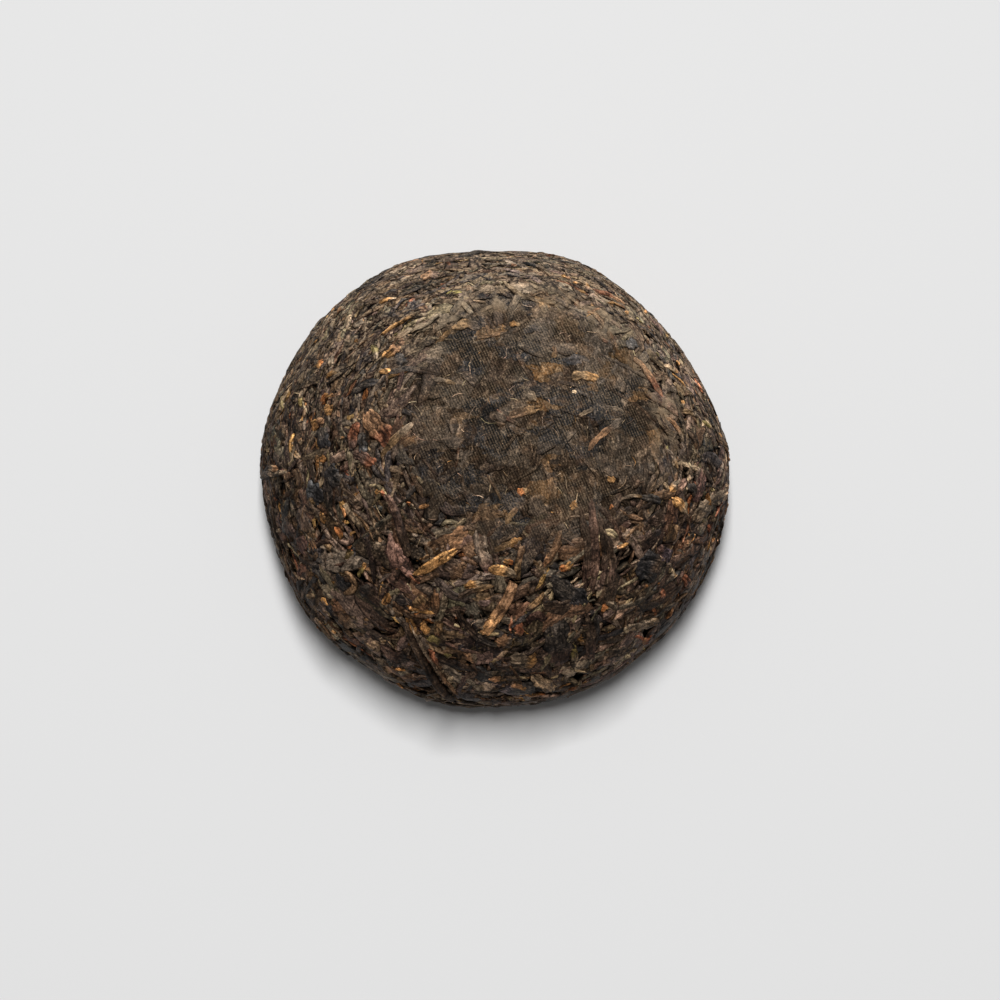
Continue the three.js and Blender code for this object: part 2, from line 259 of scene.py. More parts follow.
def smooth_share(points):
    """1 in the middle of the dome that the cloth pressed smooth, 0 on the flanks and in the hollow."""
    off = points[..., :2] - SMOOTH_MIDDLE
    uphill = smoothstep(off @ np.array(UPHILL), UPHILL_FROM, UPHILL_TO)
    apart = np.linalg.norm(off, axis=-1) - UPHILL_REACH * uphill
    above = smoothstep(points[..., 2], 20, 27)
    return smoothstep(apart, SMOOTH_OUTER, SMOOTH_INNER) * above


def coarse_share(points):
    """1 where the dome's leaves are coarse, 0 elsewhere."""
    low = smoothstep(points[..., 1], COARSE_FROM, COARSE_TO)
    return low * smoothstep(points[..., 2], 5, 15)


def loose_share(points):
    """1 where the leaves of the flank are loosely packed, low where they are pressed tight."""
    right = smoothstep(points[..., 0], 14, 34) * smoothstep(points[..., 1], 30, 12) * 0.6
    low = smoothstep(points[..., 1], 6, -18)
    turns = 0.25 * ripples(points, 16.0, 21)
    return np.clip(np.maximum(right, low) + turns, 0.04, 1)


# ---- Meshes from arrays ----
def add_piece(name, points, faces, material, point_values, corner_map):
    """A mesh of points in millimetres and a list of arrays of faces, each array with faces of one size.
    point_values are attributes of the points, and corner_map is the map that colours are baked through,
    one pair of numbers for each corner of each face."""
    mesh = bpy.data.meshes.new(name)
    corners = np.concatenate([group.ravel() for group in faces]).astype(np.int32)
    sizes = np.concatenate([np.full(len(group), group.shape[1]) for group in faces])
    starts = np.concatenate([[0], np.cumsum(sizes)[:-1]])
    mesh.vertices.add(len(points))
    mesh.vertices.foreach_set("co", ((points - CENTRED) * MM).astype(np.float32).ravel())
    mesh.loops.add(len(corners))
    mesh.loops.foreach_set("vertex_index", corners)
    mesh.polygons.add(len(sizes))
    mesh.polygons.foreach_set("loop_start", starts.astype(np.int32))
    mesh.polygons.foreach_set("use_smooth", np.ones(len(sizes), bool))
    for key, values in point_values.items():
        kind, field = ("FLOAT_COLOR", "color") if values.shape[-1] == 4 else ("FLOAT_VECTOR", "vector")
        attribute = mesh.attributes.new(key, kind, "POINT")
        attribute.data.foreach_set(field, values.astype(np.float32).ravel())
    layer = mesh.uv_layers.new(name="OFBake")
    layer.uv.foreach_set("vector", corner_map.astype(np.float32).ravel())
    mesh.update(calc_edges=True)
    mesh.validate()
    mesh.materials.append(material)
    piece = bpy.data.objects.new(name, mesh)
    bpy.context.scene.collection.objects.link(piece)
    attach(piece, BODY)
    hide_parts(NODE)
    return piece


# ---- Materials ----
class Wire:
    """A number on its way through a material. Its operators add Math nodes."""

    def __init__(self, finish, socket):
        self.finish = finish
        self.socket = socket

    def math(self, operation, *others):
        values = dict(enumerate((self, *others)))
        return self.finish.node("ShaderNodeMath", {"operation": operation}, values)

    def __add__(self, other):
        return self.math("ADD", other)

    def __sub__(self, other):
        return self.math("SUBTRACT", other)

    def __mul__(self, other):
        return self.math("MULTIPLY", other)

    def __rsub__(self, other):
        return self.finish.node("ShaderNodeMath", {"operation": "SUBTRACT"}, {0: other, 1: self})

    __radd__ = __add__
    __rmul__ = __mul__

    def doubled(self, times):
        """2 raised to (this - 0.5) x times: a tone that darkens as often as it lightens."""
        exponent = (self - 0.5) * times
        return self.finish.node("ShaderNodeMath", {"operation": "POWER"}, {0: 2.0, 1: exponent})

    def between(self, low, high):
        """0 below low, 1 above high and an S between them."""
        settings = {"interpolation_type": "SMOOTHSTEP"}
        limits = {"Value": self, "From Min": low, "From Max": high}
        return self.finish.node("ShaderNodeMapRange", settings, limits, "Result")


class Finish:
    """A material that is written as expressions."""

    def __init__(self, name):
        self.material = bpy.data.materials.new(name)
        self.material.use_nodes = True
        self.tree = self.material.node_tree
        self.tree.nodes.clear()
        self.object_place = self.node("ShaderNodeTexCoord", {}, {}, "Object")

    def node(self, kind, settings, values, output=0):
        """Adds a node, sets its settings, then the values or links of its inputs."""
        made = self.tree.nodes.new(kind)
        for key, value in settings.items():
            setattr(made, key, value)
        for key, value in values.items():
            socket = made.inputs[key]
            if isinstance(value, Wire):
                self.tree.links.new(value.socket, socket)
            else:
                socket.default_value = value
        return Wire(self, made.outputs[output])

    def attribute(self, name, output):
        return self.node("ShaderNodeAttribute", {"attribute_name": name}, {}, output)

    def parts(self, vector):
        """The three numbers of a vector."""
        first = self.node("ShaderNodeSeparateXYZ", {}, {0: vector})
        outputs = first.socket.node.outputs
        return [Wire(self, outputs[i]) for i in range(3)]

    def scaled(self, vector, factors):
        """A vector times three numbers, or a colour times one number."""
        if isinstance(factors, Wire):
            return self.node("ShaderNodeVectorMath", {"operation": "SCALE"}, {0: vector, "Scale": factors})
        return self.node("ShaderNodeVectorMath", {"operation": "MULTIPLY"}, {0: vector, 1: factors})

    def noise(self, place, size, detail=2.0, rough=0.55, warp=0.0):
        """Noise whose lumps are size millimetres across, from 0 to 1."""
        values = {"Vector": place, "Scale": 1 / size, "Detail": detail}
        values |= {"Roughness": rough, "Distortion": warp}
        return self.node("ShaderNodeTexNoise", {}, values, "Fac")

    def cells(self, place, size, feature, output):
        """Cells size millimetres across: a chance colour for each, or the distance to the next."""
        values = {"Vector": place, "Scale": 1 / size, "Randomness": 1.0}
        return self.node("ShaderNodeTexVoronoi", {"feature": feature}, values, output)

    def warped(self, place, size, reach):
        """A place strayed by up to about reach millimetres, in eddies of a size."""
        values = {"Vector": place, "Scale": 1 / size, "Detail": 3.0}
        stray = self.node("ShaderNodeTexNoise", {}, values, "Color")
        settings = {"operation": "MULTIPLY_ADD"}
        factors = {1: (3 * reach,) * 3, 2: (-1.5 * reach,) * 3}
        stray = self.node("ShaderNodeVectorMath", settings, {0: stray} | factors)
        return self.node("ShaderNodeVectorMath", {"operation": "ADD"}, {0: place, 1: stray})

    def mix(self, share, a, b):
        """Colour a where share is 0 and b where it is 1."""
        settings = {"data_type": "RGBA", "clamp_factor": True}
        return self.node("ShaderNodeMix", settings, {0: share, 6: a, 7: b}, 2)

    def surface(self, colour, roughness, height, specular):
        """The shader itself. height is in millimetres and varies; specular is the same all over."""
        bump = self.node(
            "ShaderNodeBump", {}, {"Strength": 1.0, "Distance": MM, "Height": height}, "Normal"
        )
        values = {"Base Color": colour, "Roughness": roughness, "Normal": bump}
        values["Specular IOR Level"] = specular
        shader = self.node("ShaderNodeBsdfPrincipled", {}, values)
        self.node_output(shader)
        return self.material

    def node_output(self, shader):
        out = self.tree.nodes.new("ShaderNodeOutputMaterial")
        self.tree.links.new(shader.socket, out.inputs["Surface"])


def rgba(name, brightness=1.0):
    """A palette colour for a shader socket."""
    return (*(linear(PALETTE[name]) * BRIGHTEN * brightness), 1.0)


CLOTH_PITCH = 0.45  # from thread to thread, mm
CLOTH_ANGLE = 25  # degrees that the threads are turned in plan
CLOTH_WANDER = 0.16  # how far a thread strays, mm


def cloth_print(finish, place):
    """The print of the cloth: small dots pushed up between its threads, on a square grid that strays
    a little, where the dome was pressed smooth. Returns the dots, how strong they are, where they
    show, and the shoulder round them, which the cloth rubbed pale; each from 0 to 1."""
    strayed = finish.warped(place, 8.0, CLOTH_WANDER)
    spun = finish.node(
        "ShaderNodeMapping",
        {"vector_type": "POINT"},
        {"Vector": strayed, "Rotation": (0, 0, math.radians(-CLOTH_ANGLE))},
    )
    warp, weft, _ = finish.parts(spun)
    turns = 2 * math.pi / CLOTH_PITCH
    dots = ((warp * turns).math("SINE") * 0.5 + 0.5) * ((weft * turns).math("SINE") * 0.27 + 0.73)
    across, deep, height = finish.parts(place)
    off_x = across - float(SMOOTH_MIDDLE[0] - CENTRED[0])
    off_y = deep - float(SMOOTH_MIDDLE[1] - CENTRED[1])
    apart = (off_x * off_x + off_y * off_y).math("SQRT")
    uphill = (off_x * UPHILL[0] + off_y * UPHILL[1]).between(UPHILL_FROM, UPHILL_TO)
    reached = apart - UPHILL_REACH * uphill
    shown = (1 - reached.between(SMOOTH_INNER * 0.95, SMOOTH_OUTER)) * height.between(20, 27)
    patchy = finish.noise(place, 5.0, 2.0).between(0.38, 0.62)
    ring = apart.between(SHOULDER - 5, SHOULDER - 1) * (1 - apart.between(SHOULDER, SHOULDER + 3))
    ring = ring * uphill * finish.noise(place, 3.4, 4.0, 0.65, 1.0).between(0.42, 0.6)
    broken = finish.noise(place, 0.6, 2.0).between(0.34, 0.62)
    return dots, (0.2 + 0.8 * patchy) * (0.25 + 0.75 * broken), shown, ring


def print_colour(finish, place):
    """The colours of the pressed middle: flattened scraps of leaf with ragged outlines, a few
    millimetres wide, blue-black, umber, brown and a few ochre, with wisps of pale fibre and
    painted shade in the thin cracks between them."""
    strayed = finish.warped(finish.scaled(place, (0.75, 1.1, 1.0)), 1.5, 1.1)
    kind, tone, _ = finish.parts(finish.cells(strayed, 3.4, "F1", "Color"))
    crack = finish.cells(strayed, 3.4, "DISTANCE_TO_EDGE", "Distance").between(0.0, 0.09)
    cloud = finish.noise(place, 3.2, 5.0, 0.7, 1.0)
    wisps = finish.noise(place, 1.1, 4.0, 0.65, 2.6)
    colour = finish.mix(kind.between(0.34, 0.4), rgba("blue_black", 0.7), rgba("umber", 0.75))
    colour = finish.mix(kind.between(0.68, 0.72), colour, rgba("grey_brown", 0.7))
    colour = finish.mix(kind.between(0.88, 0.97) * 0.8, colour, rgba("ochre", 0.42))
    colour = finish.mix(cloud.between(0.5, 0.66) * 0.5, colour, rgba("brown", 0.9))
    colour = finish.mix(wisps.between(0.56, 0.72) * 0.45, colour, rgba("tan", 0.75))
    strands = finish.node(
        "ShaderNodeMapping",
        {"vector_type": "POINT"},
        {"Vector": strayed, "Rotation": (0, 0, 0.5), "Scale": (1.0, 0.12, 1.0)},
    )
    strands = finish.noise(strands, 0.3, 2.0, 0.6)
    colour = finish.mix(strands.between(0.56, 0.72) * 0.5, colour, rgba("tan", 0.8))
    # Painted shade in the thin cracks, except where the cloud covers them.
    crack = 0.45 + 0.55 * crack.math("MAXIMUM", cloud.between(0.4, 0.56))
    return finish.scaled(colour, tone.doubled(1.2) * crack * 0.58)


def leaf_finish(name, specular=0.06, matt=0.72, film=0.5, blur=0.88, streaky=5.0):
    """Dry pressed leaf. Its own colour is streaked by fibres along it, broken into flakes, mottled and
    flecked with tan dust, with more flecks towards the top, a small painted highlight on the crowns
    and a painted warm shade towards the bottom. Painted shade darkens it at its edges, in thin cracks
    and deep in the gaps. Where the cloth pressed the cake smooth its colour sinks into the scraps there,
    by blur. matt is the roughness, film the dust and streaky how far the fibres differ."""
    finish = Finish(name)
    place = finish.scaled(finish.object_place, (1 / MM,) * 3)
    lie = finish.attribute("lie", "Vector")
    own = finish.attribute("leaf_colour", "Color")
    ridge, deep, chance = finish.parts(finish.attribute("press", "Vector"))
    fibre = finish.noise(finish.scaled(lie, (1.0, 0.1, 1.0)), 0.34, 3.0, 0.7)
    crinkle = finish.noise(finish.scaled(lie, (1.0, 0.4, 1.0)), 0.9, 4.0, 0.65, 0.6)
    grain = finish.noise(place, 0.36, 3.0, 0.7)
    mottle = finish.noise(place, 2.2, 4.0, 0.65)
    broad = finish.noise(place, 6.0, 2.0, 0.5)
    strayed = finish.warped(finish.scaled(lie, (1.0, 0.5, 1.0)), 0.8, 0.5)
    flake, flake_hue, _ = finish.parts(finish.cells(strayed, 0.95, "F1", "Color"))
    dots, strong, shown, shoulder = cloth_print(finish, place)
    # 0 at y -10 mm and below, 1 at y 26 mm and above: the tan flecks grow towards the top, and a painted warm
    # shade grows towards the bottom.
    upper_share = finish.parts(place)[1].between(-10, 26)
    tone = fibre.doubled(streaky) * crinkle.doubled(5.2) * grain.doubled(6.4)
    calm = 1 - 0.35 * shown
    tone = tone * (mottle.doubled(3.7) * broad.doubled(2.6) * flake.doubled(1.2)).math("POWER", calm)
    soft = finish.mix(shown * blur, own, print_colour(finish, place))
    colour = finish.scaled(soft, tone)
    warm = (mottle * 0.4 + chance * 0.3 + flake_hue * 0.3).between(0.46, 0.66)
    colour = finish.mix(warm * 0.5, colour, finish.scaled(colour, (1.12, 1.0, 0.9)))
    # Painted warm shade: the lower side is made warmer, as the shade there is warmer.
    colour = finish.mix((1 - upper_share) * 0.35, colour, finish.scaled(colour, (1.1, 1.0, 0.86)))
    # Tan dust flecks, with a small painted highlight added on the crowns of the leaves.
    dust_flecks_and_highlight = grain * 0.5 + crinkle * 0.3 + fibre * 0.15 + flake * 0.1 + 0.05 * ridge
    dust_flecks_and_highlight = (dust_flecks_and_highlight + 0.075 * upper_share * (1 - shown) - 0.02 * shown).between(0.58, 0.74)
    colour = finish.mix(dust_flecks_and_highlight * film, colour, rgba("tan", 1.15))
    colour = finish.mix(shoulder * film, colour, rgba("tan", 0.95))
    colour = finish.mix(shown * dots.math("POWER", 1.3) * strong * 0.45, colour, rgba("tan", 0.95))
    # Painted shade: the leaves are darkened at their edges and in thin cracks, where shade falls between
    # them.
    edge = (1 - ridge.between(0.0, 0.3)) * (1 - shown * 0.7)
    crack = finish.cells(finish.warped(place, 1.6, 0.9), 2.6, "DISTANCE_TO_EDGE", "Distance")
    crack = (1 - crack.between(0.0, 0.15)) * mottle.between(0.38, 0.56) * (1 - shown)
    colour = finish.scaled(colour, (1 - 0.65 * edge) * (1 - 0.85 * crack))
    # Painted shade: the deeper a point lies below the skin, the nearer its colour goes to black.
    colour = finish.mix(deep.between(0.1, 0.75) * 0.95, colour, rgba("painted_gap_shade", 0.4))
    height = fibre * 0.14 + crinkle * 0.22 + grain * 0.08 + shown * dots * 0.022
    roughness = matt - 0.2 * mottle + 0.16 * dust_flecks_and_highlight + 0.2 * shown
    return finish.surface(colour, roughness, height, specular)


# ---- Leaves ----
PATCH = 7.0  # mm, the size of the patches in which leaves are alike
STAIN = (76, 60, 47)  # the brown that all the leaves are stained with
MELLOW = 0.25  # how far, for the scattered leaves
PATCHY = 0.68  # how much their colour follows the patch and not chance
PRESS_BEND = 0.05  # mm, how sharply a leaf bends over to the pressed height
CRUMPLE, CRUMPLE_FINE = 0.2, 0.12  # mm, dents that run across all the leaves alike
GAP_DEPTH = 1.3  # mm below the skin, where the painted shade of a gap is black
TABLE_GAP, TABLE_SPREAD = 0.01, 0.05  # mm that a leaf of the rim is off the table: least, and more by chance
NAMED_MELLOW, NAMED_SHADE = 0.14, 0.95  # how far the named leaves are stained, and how light they are


def pressed_below(height, limit):
    """Heights held below a limit with a soft bend, as the cloth presses a proud leaf flat."""
    over = height - limit
    return height - (over + np.sqrt(over * over + PRESS_BEND**2)) / 2


def leaf_shapes(start, end, side, traits, across, along):
    """Leaves that lie in the skin, each a closed body. v runs from -1 to 1 along a leaf and u from -1 to
    1 across it. The midrib is the line from start to end, swung sideways by bow times half a cosine
    and by kink times a tent that peaks at kink_at. Half the width is the width times a taper in
    v, made uneven by two sines that differ on its two edges, and the ends are torn aslant by sliding
    their points along by slant. The top stands above the skin by lift plus a crown that falls to
    nothing at the edges and is cut by folds, less a dip of both ends, with a sideways tilt, a wave
    along the leaf and dents shared with its neighbours, all held below the height that the cloth
    pressed it to. One line of points underneath closes the body.
    Returns points (leaf, ring, point, 3), heights, crowns, and flat places."""
    u = np.linspace(-1, 1, across)
    v = np.linspace(-1, 1, along)
    count = len(start)

    def each(key):
        return traits[key].reshape(count, 1)

    def every(key):
        return traits[key].reshape(count, 1, 1)

    span = end - start
    length = np.linalg.norm(span, axis=-1)
    line = start[:, None] + span[:, None] * ((v + 1) / 2)[None, :, None]
    _, normal = on_skin(line, side)
    sideways = unit(np.cross(normal, span[:, None]))
    peak = each("kink_at")
    tent = np.where(v < peak, (v + 1) / (peak + 1), (1 - v) / (1 - peak))
    swing = each("bow") * np.cos(np.pi * v / 2) + each("kink") * tent
    middle, normal = on_skin(line + sideways * swing[..., None], side)
    course = unit(np.gradient(middle, axis=1))
    sideways = unit(np.cross(normal, course))
    taper = np.maximum(1 - np.abs(v) ** each("blunt"), 0) ** 0.7
    taper = np.maximum(taper, np.where(v < 0, each("tip"), each("tip_end")))
    half = each("width") / 2 * taper
    phase = every("ragged_phase")
    uneven = 1 + every("ragged") * np.sin(phase + 4.3 * v[:, None] + 1.9 * u)
    uneven = uneven + every("ragged") * 0.7 * np.sin(phase * 2.3 + 10.1 * v[:, None] + 2.7 * u)
    across_at = half[..., None] * uneven * u
    slide = each("slant") * np.sign(v) * np.abs(v) ** 3
    torn = half[..., None] * (slide[..., None] * u + each("jag")[..., None] * v[:, None] ** 6 * np.sin(7 * u))
    spots = middle[:, :, None] + sideways[:, :, None] * across_at[..., None]
    spots = spots + course[:, :, None] * torn[..., None]
    foot, up = on_skin(spots, side)
    twist = every("twist") * v[None, :, None] + every("twist_phase")
    folds = 0.5 + 0.5 * np.cos(np.pi * every("folds") * u + twist)
    crown = (1 - np.abs(u) ** every("fullness")) * (1 - every("groove") * folds)
    dip = every("dip") * (np.abs(v) ** 3)[None, :, None]
    waves = every("wave") * np.sin(every("wave_phase") + (v * length[:, None] * 0.9)[..., None])
    shrink = (taper**0.5)[..., None]
    dents = CRUMPLE * ripples(foot, 3.4, 41) + CRUMPLE_FINE * ripples(foot, 1.6, 42, 24)
    height = every("lift") + every("crown") * crown * shrink - dip + waves + every("tilt") * u
    height = height + every("crumple") * dents
    height = pressed_below(height, every("limit") - every("groove") * folds * 0.08)
    upper = foot + up * height[..., None]
    below = (every("lift") - dip + waves)[..., 0] - each("depth")
    lower = middle + normal * below[..., None]
    points = np.concatenate([upper, lower[:, :, None]], 2)
    heights = np.concatenate([height, below[..., None]], 2)
    crowns = np.concatenate([crown * np.ones_like(height), 0 * below[..., None]], 2)
    flat_u = np.concatenate([across_at, 0 * below[..., None]], 2)
    flat_v = (v * length[:, None] / 2)[..., None] * np.ones_like(flat_u)
    return points, heights, crowns, np.stack([flat_u, flat_v], -1)


def leaf_faces(count, rings, around):
    """Quads between the rings of each leaf, and one face on each end. Points of a leaf follow each other
    ring by ring."""
    ring = np.arange(rings - 1)[:, None]
    spot = np.arange(around)[None, :]
    after = (spot + 1) % around
    quads = np.stack(
        np.broadcast_arrays(
            ring * around + spot,
            ring * around + after,
            (ring + 1) * around + after,
            (ring + 1) * around + spot,
        ),
        -1,
    ).reshape(-1, 4)
    ends = np.stack([np.arange(around)[::-1], (rings - 1) * around + np.arange(around)])
    first = (np.arange(count) * rings * around)[:, None, None]
    return [(quads + first).reshape(-1, 4), (ends + first).reshape(-1, around)]


def leaf_map(count, rings, around):
    """A place in the bake's map for every face corner: the map is a square of cells, one for each leaf,
    with the leaf laid out flat in it and its two ends in the cell's margin."""
    cells = math.ceil(math.sqrt(count))
    ring = np.arange(rings - 1)[:, None] + np.zeros((1, around))
    spot = np.arange(around)[None, :] + np.zeros((rings - 1, 1))
    corner_u = np.stack([spot, spot + 1, spot + 1, spot], -1) / around
    corner_v = np.stack([ring, ring, ring + 1, ring + 1], -1) / (rings - 1)
    quads = np.stack([corner_u, 0.1 + 0.8 * corner_v], -1).reshape(-1, 2)
    arc = np.sin(np.pi * (np.arange(around) + 0.5) / around)
    rim_u = (np.arange(around) + 0.5) / around
    ends = [
        np.stack([rim_u[::-1], 0.01 + 0.05 * arc[::-1]], -1),
        np.stack([rim_u, 0.94 + 0.05 * arc], -1),
    ]
    ends = np.concatenate(ends)
    corner = np.stack([np.arange(count) % cells, np.arange(count) // cells], -1)[:, None]
    margin = 0.06
    placed = [(margin + (1 - 2 * margin) * part[None] + corner) / cells for part in (quads, ends)]
    return np.concatenate([part.reshape(-1, 2) for part in placed])


def keep_off_table(points, draw):
    """The rim is pressed flat on the table, each leaf of it a hair off."""
    floor = TABLE_GAP + TABLE_SPREAD * draw.random((len(points), 1, 1))
    points[..., 2] = np.maximum(points[..., 2], floor)
    return points


def add_leaves(name, batches, across, along, material, seed):
    """One piece of all the leaves of a kind. Each batch has start and end points, a side and traits. A
    leaf goes over to its tip's colour where v passes turns_at."""
    draw = np.random.default_rng(seed)
    v = np.linspace(-1, 1, along)
    all_points, all_values = [], []
    for start, end, side, traits in batches:
        points, heights, crowns, flat = leaf_shapes(start, end, side, traits, across, along)
        points = keep_off_table(points, draw)
        seeds = draw.uniform(0, 400, (len(start), 1, 1)) * np.ones(heights.shape)
        chance = draw.random((len(start), 1, 1)) * np.ones(heights.shape)
        lie = np.stack([flat[..., 0] + seeds, flat[..., 1], seeds], -1)
        # press holds the crown, the depth below the skin, which the finish turns into painted shade, and a
        # chance number.
        press = np.stack([crowns, np.clip(-heights / GAP_DEPTH, 0, 1), chance], -1)
        share = smoothstep(v[None, :], traits["turns_at"][:, None] - 0.25, traits["turns_at"][:, None] + 0.25)
        tint = blend(traits["colour"][:, None], traits["tip_colour"][:, None], share[..., None])
        tint = np.broadcast_to(tint[:, :, None], (*heights.shape, 3))
        tint = np.concatenate([tint, np.ones((*heights.shape, 1))], -1)
        all_points.append(points.reshape(-1, 3))
        all_values.append((lie.reshape(-1, 3), press.reshape(-1, 3), tint.reshape(-1, 4)))
    count = sum(len(batch[0]) for batch in batches)
    point_values = {
        key: np.concatenate([values[i] for values in all_values])
        for i, key in enumerate(("lie", "press", "leaf_colour"))
    }
    return add_piece(
        name,
        np.concatenate(all_points),
        leaf_faces(count, along, across + 1),
        material,
        point_values,
        leaf_map(count, along, across + 1),
    )


def colour_of(names, weights, points, draw, spread=0.22):
    """A palette colour for each leaf, lighter or darker by chance. Where it falls in the list, which runs
    from dark to light, follows a random field as well as chance, so that neighbours are often alike."""
    count = len(points)
    field = PATCHY * ripples(points, PATCH, 33) + (1 - PATCHY) * draw.normal(0, 0.7, count)
    rank = (np.argsort(np.argsort(field)) + 0.5) / max(count, 1)
    bounds = np.cumsum(weights) / np.sum(weights)
    picks = np.minimum(np.searchsorted(bounds, rank), len(names) - 1)
    base = blend(np.stack([linear(PALETTE[name]) for name in names])[picks], linear(STAIN), MELLOW) * BRIGHTEN
    tone = np.exp(draw.normal(0, spread, (count, 1)))
    tint = np.exp(draw.normal(0, 0.05, (count, 3)))
    return base * tone * tint


def spread_places(count, side, draw):
    """Places spread evenly over a side of the skin: a golden-angle spiral by area, jittered."""
    run = RUNS[side]
    kept = run["z"] > 0
    shares = run["share"][kept]
    order = np.argsort(shares)
    spiral = (np.arange(count) + draw.random(count)) / count
    share = blend(shares.min(), shares.max(), spiral)
    turn = np.arange(count) * np.pi * (3 - math.sqrt(5)) + draw.uniform(-0.2, 0.2, count)
    radius = np.interp(share, shares[order], run["r"][kept][order])
    height = np.interp(share, shares[order], run["z"][kept][order])
    above = np.stack([radius * np.cos(turn), radius * np.sin(turn), height], -1)
    return on_skin(above, side)


def laid(points, normals, heading, length):
    """The ends of leaves of a length that lie on the skin with a heading, 0 along the rim."""
    east = unit(np.stack([-points[:, 1], points[:, 0], 0 * points[:, 0]], -1))
    north = np.cross(normals, east)
    half = (east * np.cos(heading)[:, None] + north * np.sin(heading)[:, None]) * length[:, None] / 2
    return points - half, points + half


def scattered(kind, side, count, draw):
    """A batch of leaves of a kind. In the cloth's print they lie flush with the skin, turned any way; on
    the flanks most lie along the rim, some sunk between the others; on the coarse side they
    are larger, looser and turned any way."""
    points, normals = spread_places(count, side, draw)
    smooth = smooth_share(points)
    coarse = coarse_share(points)
    wanted = blend(kind["on_flank"], kind["in_print"], smooth)
    wanted = blend(wanted, kind.get("on_coarse", kind["on_flank"]), coarse)
    keep = draw.random(count) < wanted
    points, normals, smooth, coarse = points[keep], normals[keep], smooth[keep], coarse[keep]
    count = len(points)
    rough = 1 - smooth
    loose = loose_share(points)
    grow = 1 + kind["coarser"] * coarse
    length = blend(kind["length"][0], kind["length"][1], draw.random(count) ** 1.3) * grow
    width = blend(kind["width"][0], kind["width"][1], draw.random(count)) * grow
    along_rim = draw.normal(0, 0.3, count)
    any_way = draw.uniform(-np.pi / 2, np.pi / 2, count)
    aligned = draw.random(count) < kind["aligned"] * rough * (1 - 0.55 * loose)
    heading = np.where(aligned, along_rim, any_way)
    start, end = laid(points, normals, heading, length)
    depth = kind["sunk"] * blend(0.3, 1.25, loose)
    lift = -depth * draw.random(count) ** 1.8 * rough - 0.06 * draw.random(count) * smooth
    odd = draw.random(count) < kind["two_toned"]
    colour = kind["colours"](points, draw)
    # Painted fill light: leaves on the coarse lower side are made lighter.
    tone = np.exp(0.3 * ripples(points, 8.0, 31) + COARSE_PAINTED_FILL * coarse)[:, None]
    arched = blend(0.25, 1, rough * (0.5 + loose / 2))
    traits = {
        "width": width,
        "bow": length * draw.normal(0, kind["curl"], count),
        "kink": length * draw.normal(0, 0.06, count),
        "kink_at": draw.uniform(-0.6, 0.6, count),
        "blunt": draw.uniform(*kind["blunt"], count),
        "tip": draw.uniform(*kind["tip"], count),
        "tip_end": draw.uniform(*kind["tip"], count),
        "ragged": draw.uniform(0, kind["ragged"], count),
        "ragged_phase": draw.uniform(0, 6.3, count),
        "slant": draw.normal(0, 0.7, count),
        "jag": draw.normal(0, 0.25, count),
        "fullness": draw.uniform(*kind["fullness"], count),
        "dip": blend(0.12, kind["dip"], rough) * draw.random(count),
        "wave": kind["wave"] * draw.random(count) * rough,
        "wave_phase": draw.uniform(0, 6.3, count),
        "twist": draw.normal(0, kind["twist"], count),
        "twist_phase": draw.uniform(0, 6.3, count),
        "folds": draw.uniform(*kind["folds"], count),
        "groove": draw.uniform(0.1, kind["groove"], count) * blend(0.5, 1, rough),
        "lift": lift,
        "crown": width * kind["crown"] * draw.uniform(0.6, 1.2, count) * arched,
        "tilt": kind["tilt"] * draw.normal(0, 1, count) * rough,
        "crumple": rough,
        "limit": blend(0.05, 0.09, rough) + blend(0.25, 0.45, loose) * rough * draw.random(count) ** 2.5,
        "depth": np.full(count, kind["thick"]),
        "colour": colour * tone,
        "tip_colour": kind["colours"](points, draw) * tone,
        "turns_at": np.where(odd, draw.uniform(-0.6, 0.7, count), 3.0),
    }
    return start, end, side, traits


def main_colours(names, weights, spread=0.22):
    """A way to colour the leaves of a kind: palette names and how often each is drawn."""

    def pick(points, draw):
        return colour_of(names, weights, points, draw, spread)

    return pick


# Each kind's scattered leaves. The share of the spots that hold one is on_flank, in_print and on_coarse, in
# the three parts of the skin. coarser is how much larger they are on the coarse side, aligned the share
# that lies along the rim, curl how far they bow for their length, and two_toned the share with an end of
# another colour. Crown is a share of the width, and the other measures are in millimetres.
PLAIN_KIND = {
    "on_flank": 1.0, "in_print": 0.12, "coarser": 0.3, "aligned": 0.85, "curl": 0.06, "two_toned": 0.2,
    "ragged": 0.2, "dip": 0.5, "wave": 0.08, "twist": 1.0, "folds": (1.2, 2.8), "groove": 0.4,
    "sunk": 0.5, "tilt": 0.14, "thick": 0.6,
}
STRIP = PLAIN_KIND | {
    "length": (4.0, 13.0), "blunt": (6.0, 16.0), "tip": (0.3, 0.9), "fullness": (2.5, 6.0),
    "twist": 1.2, "groove": 0.6, "crown": 0.26, "tilt": 0.1, "thick": 0.75,
}
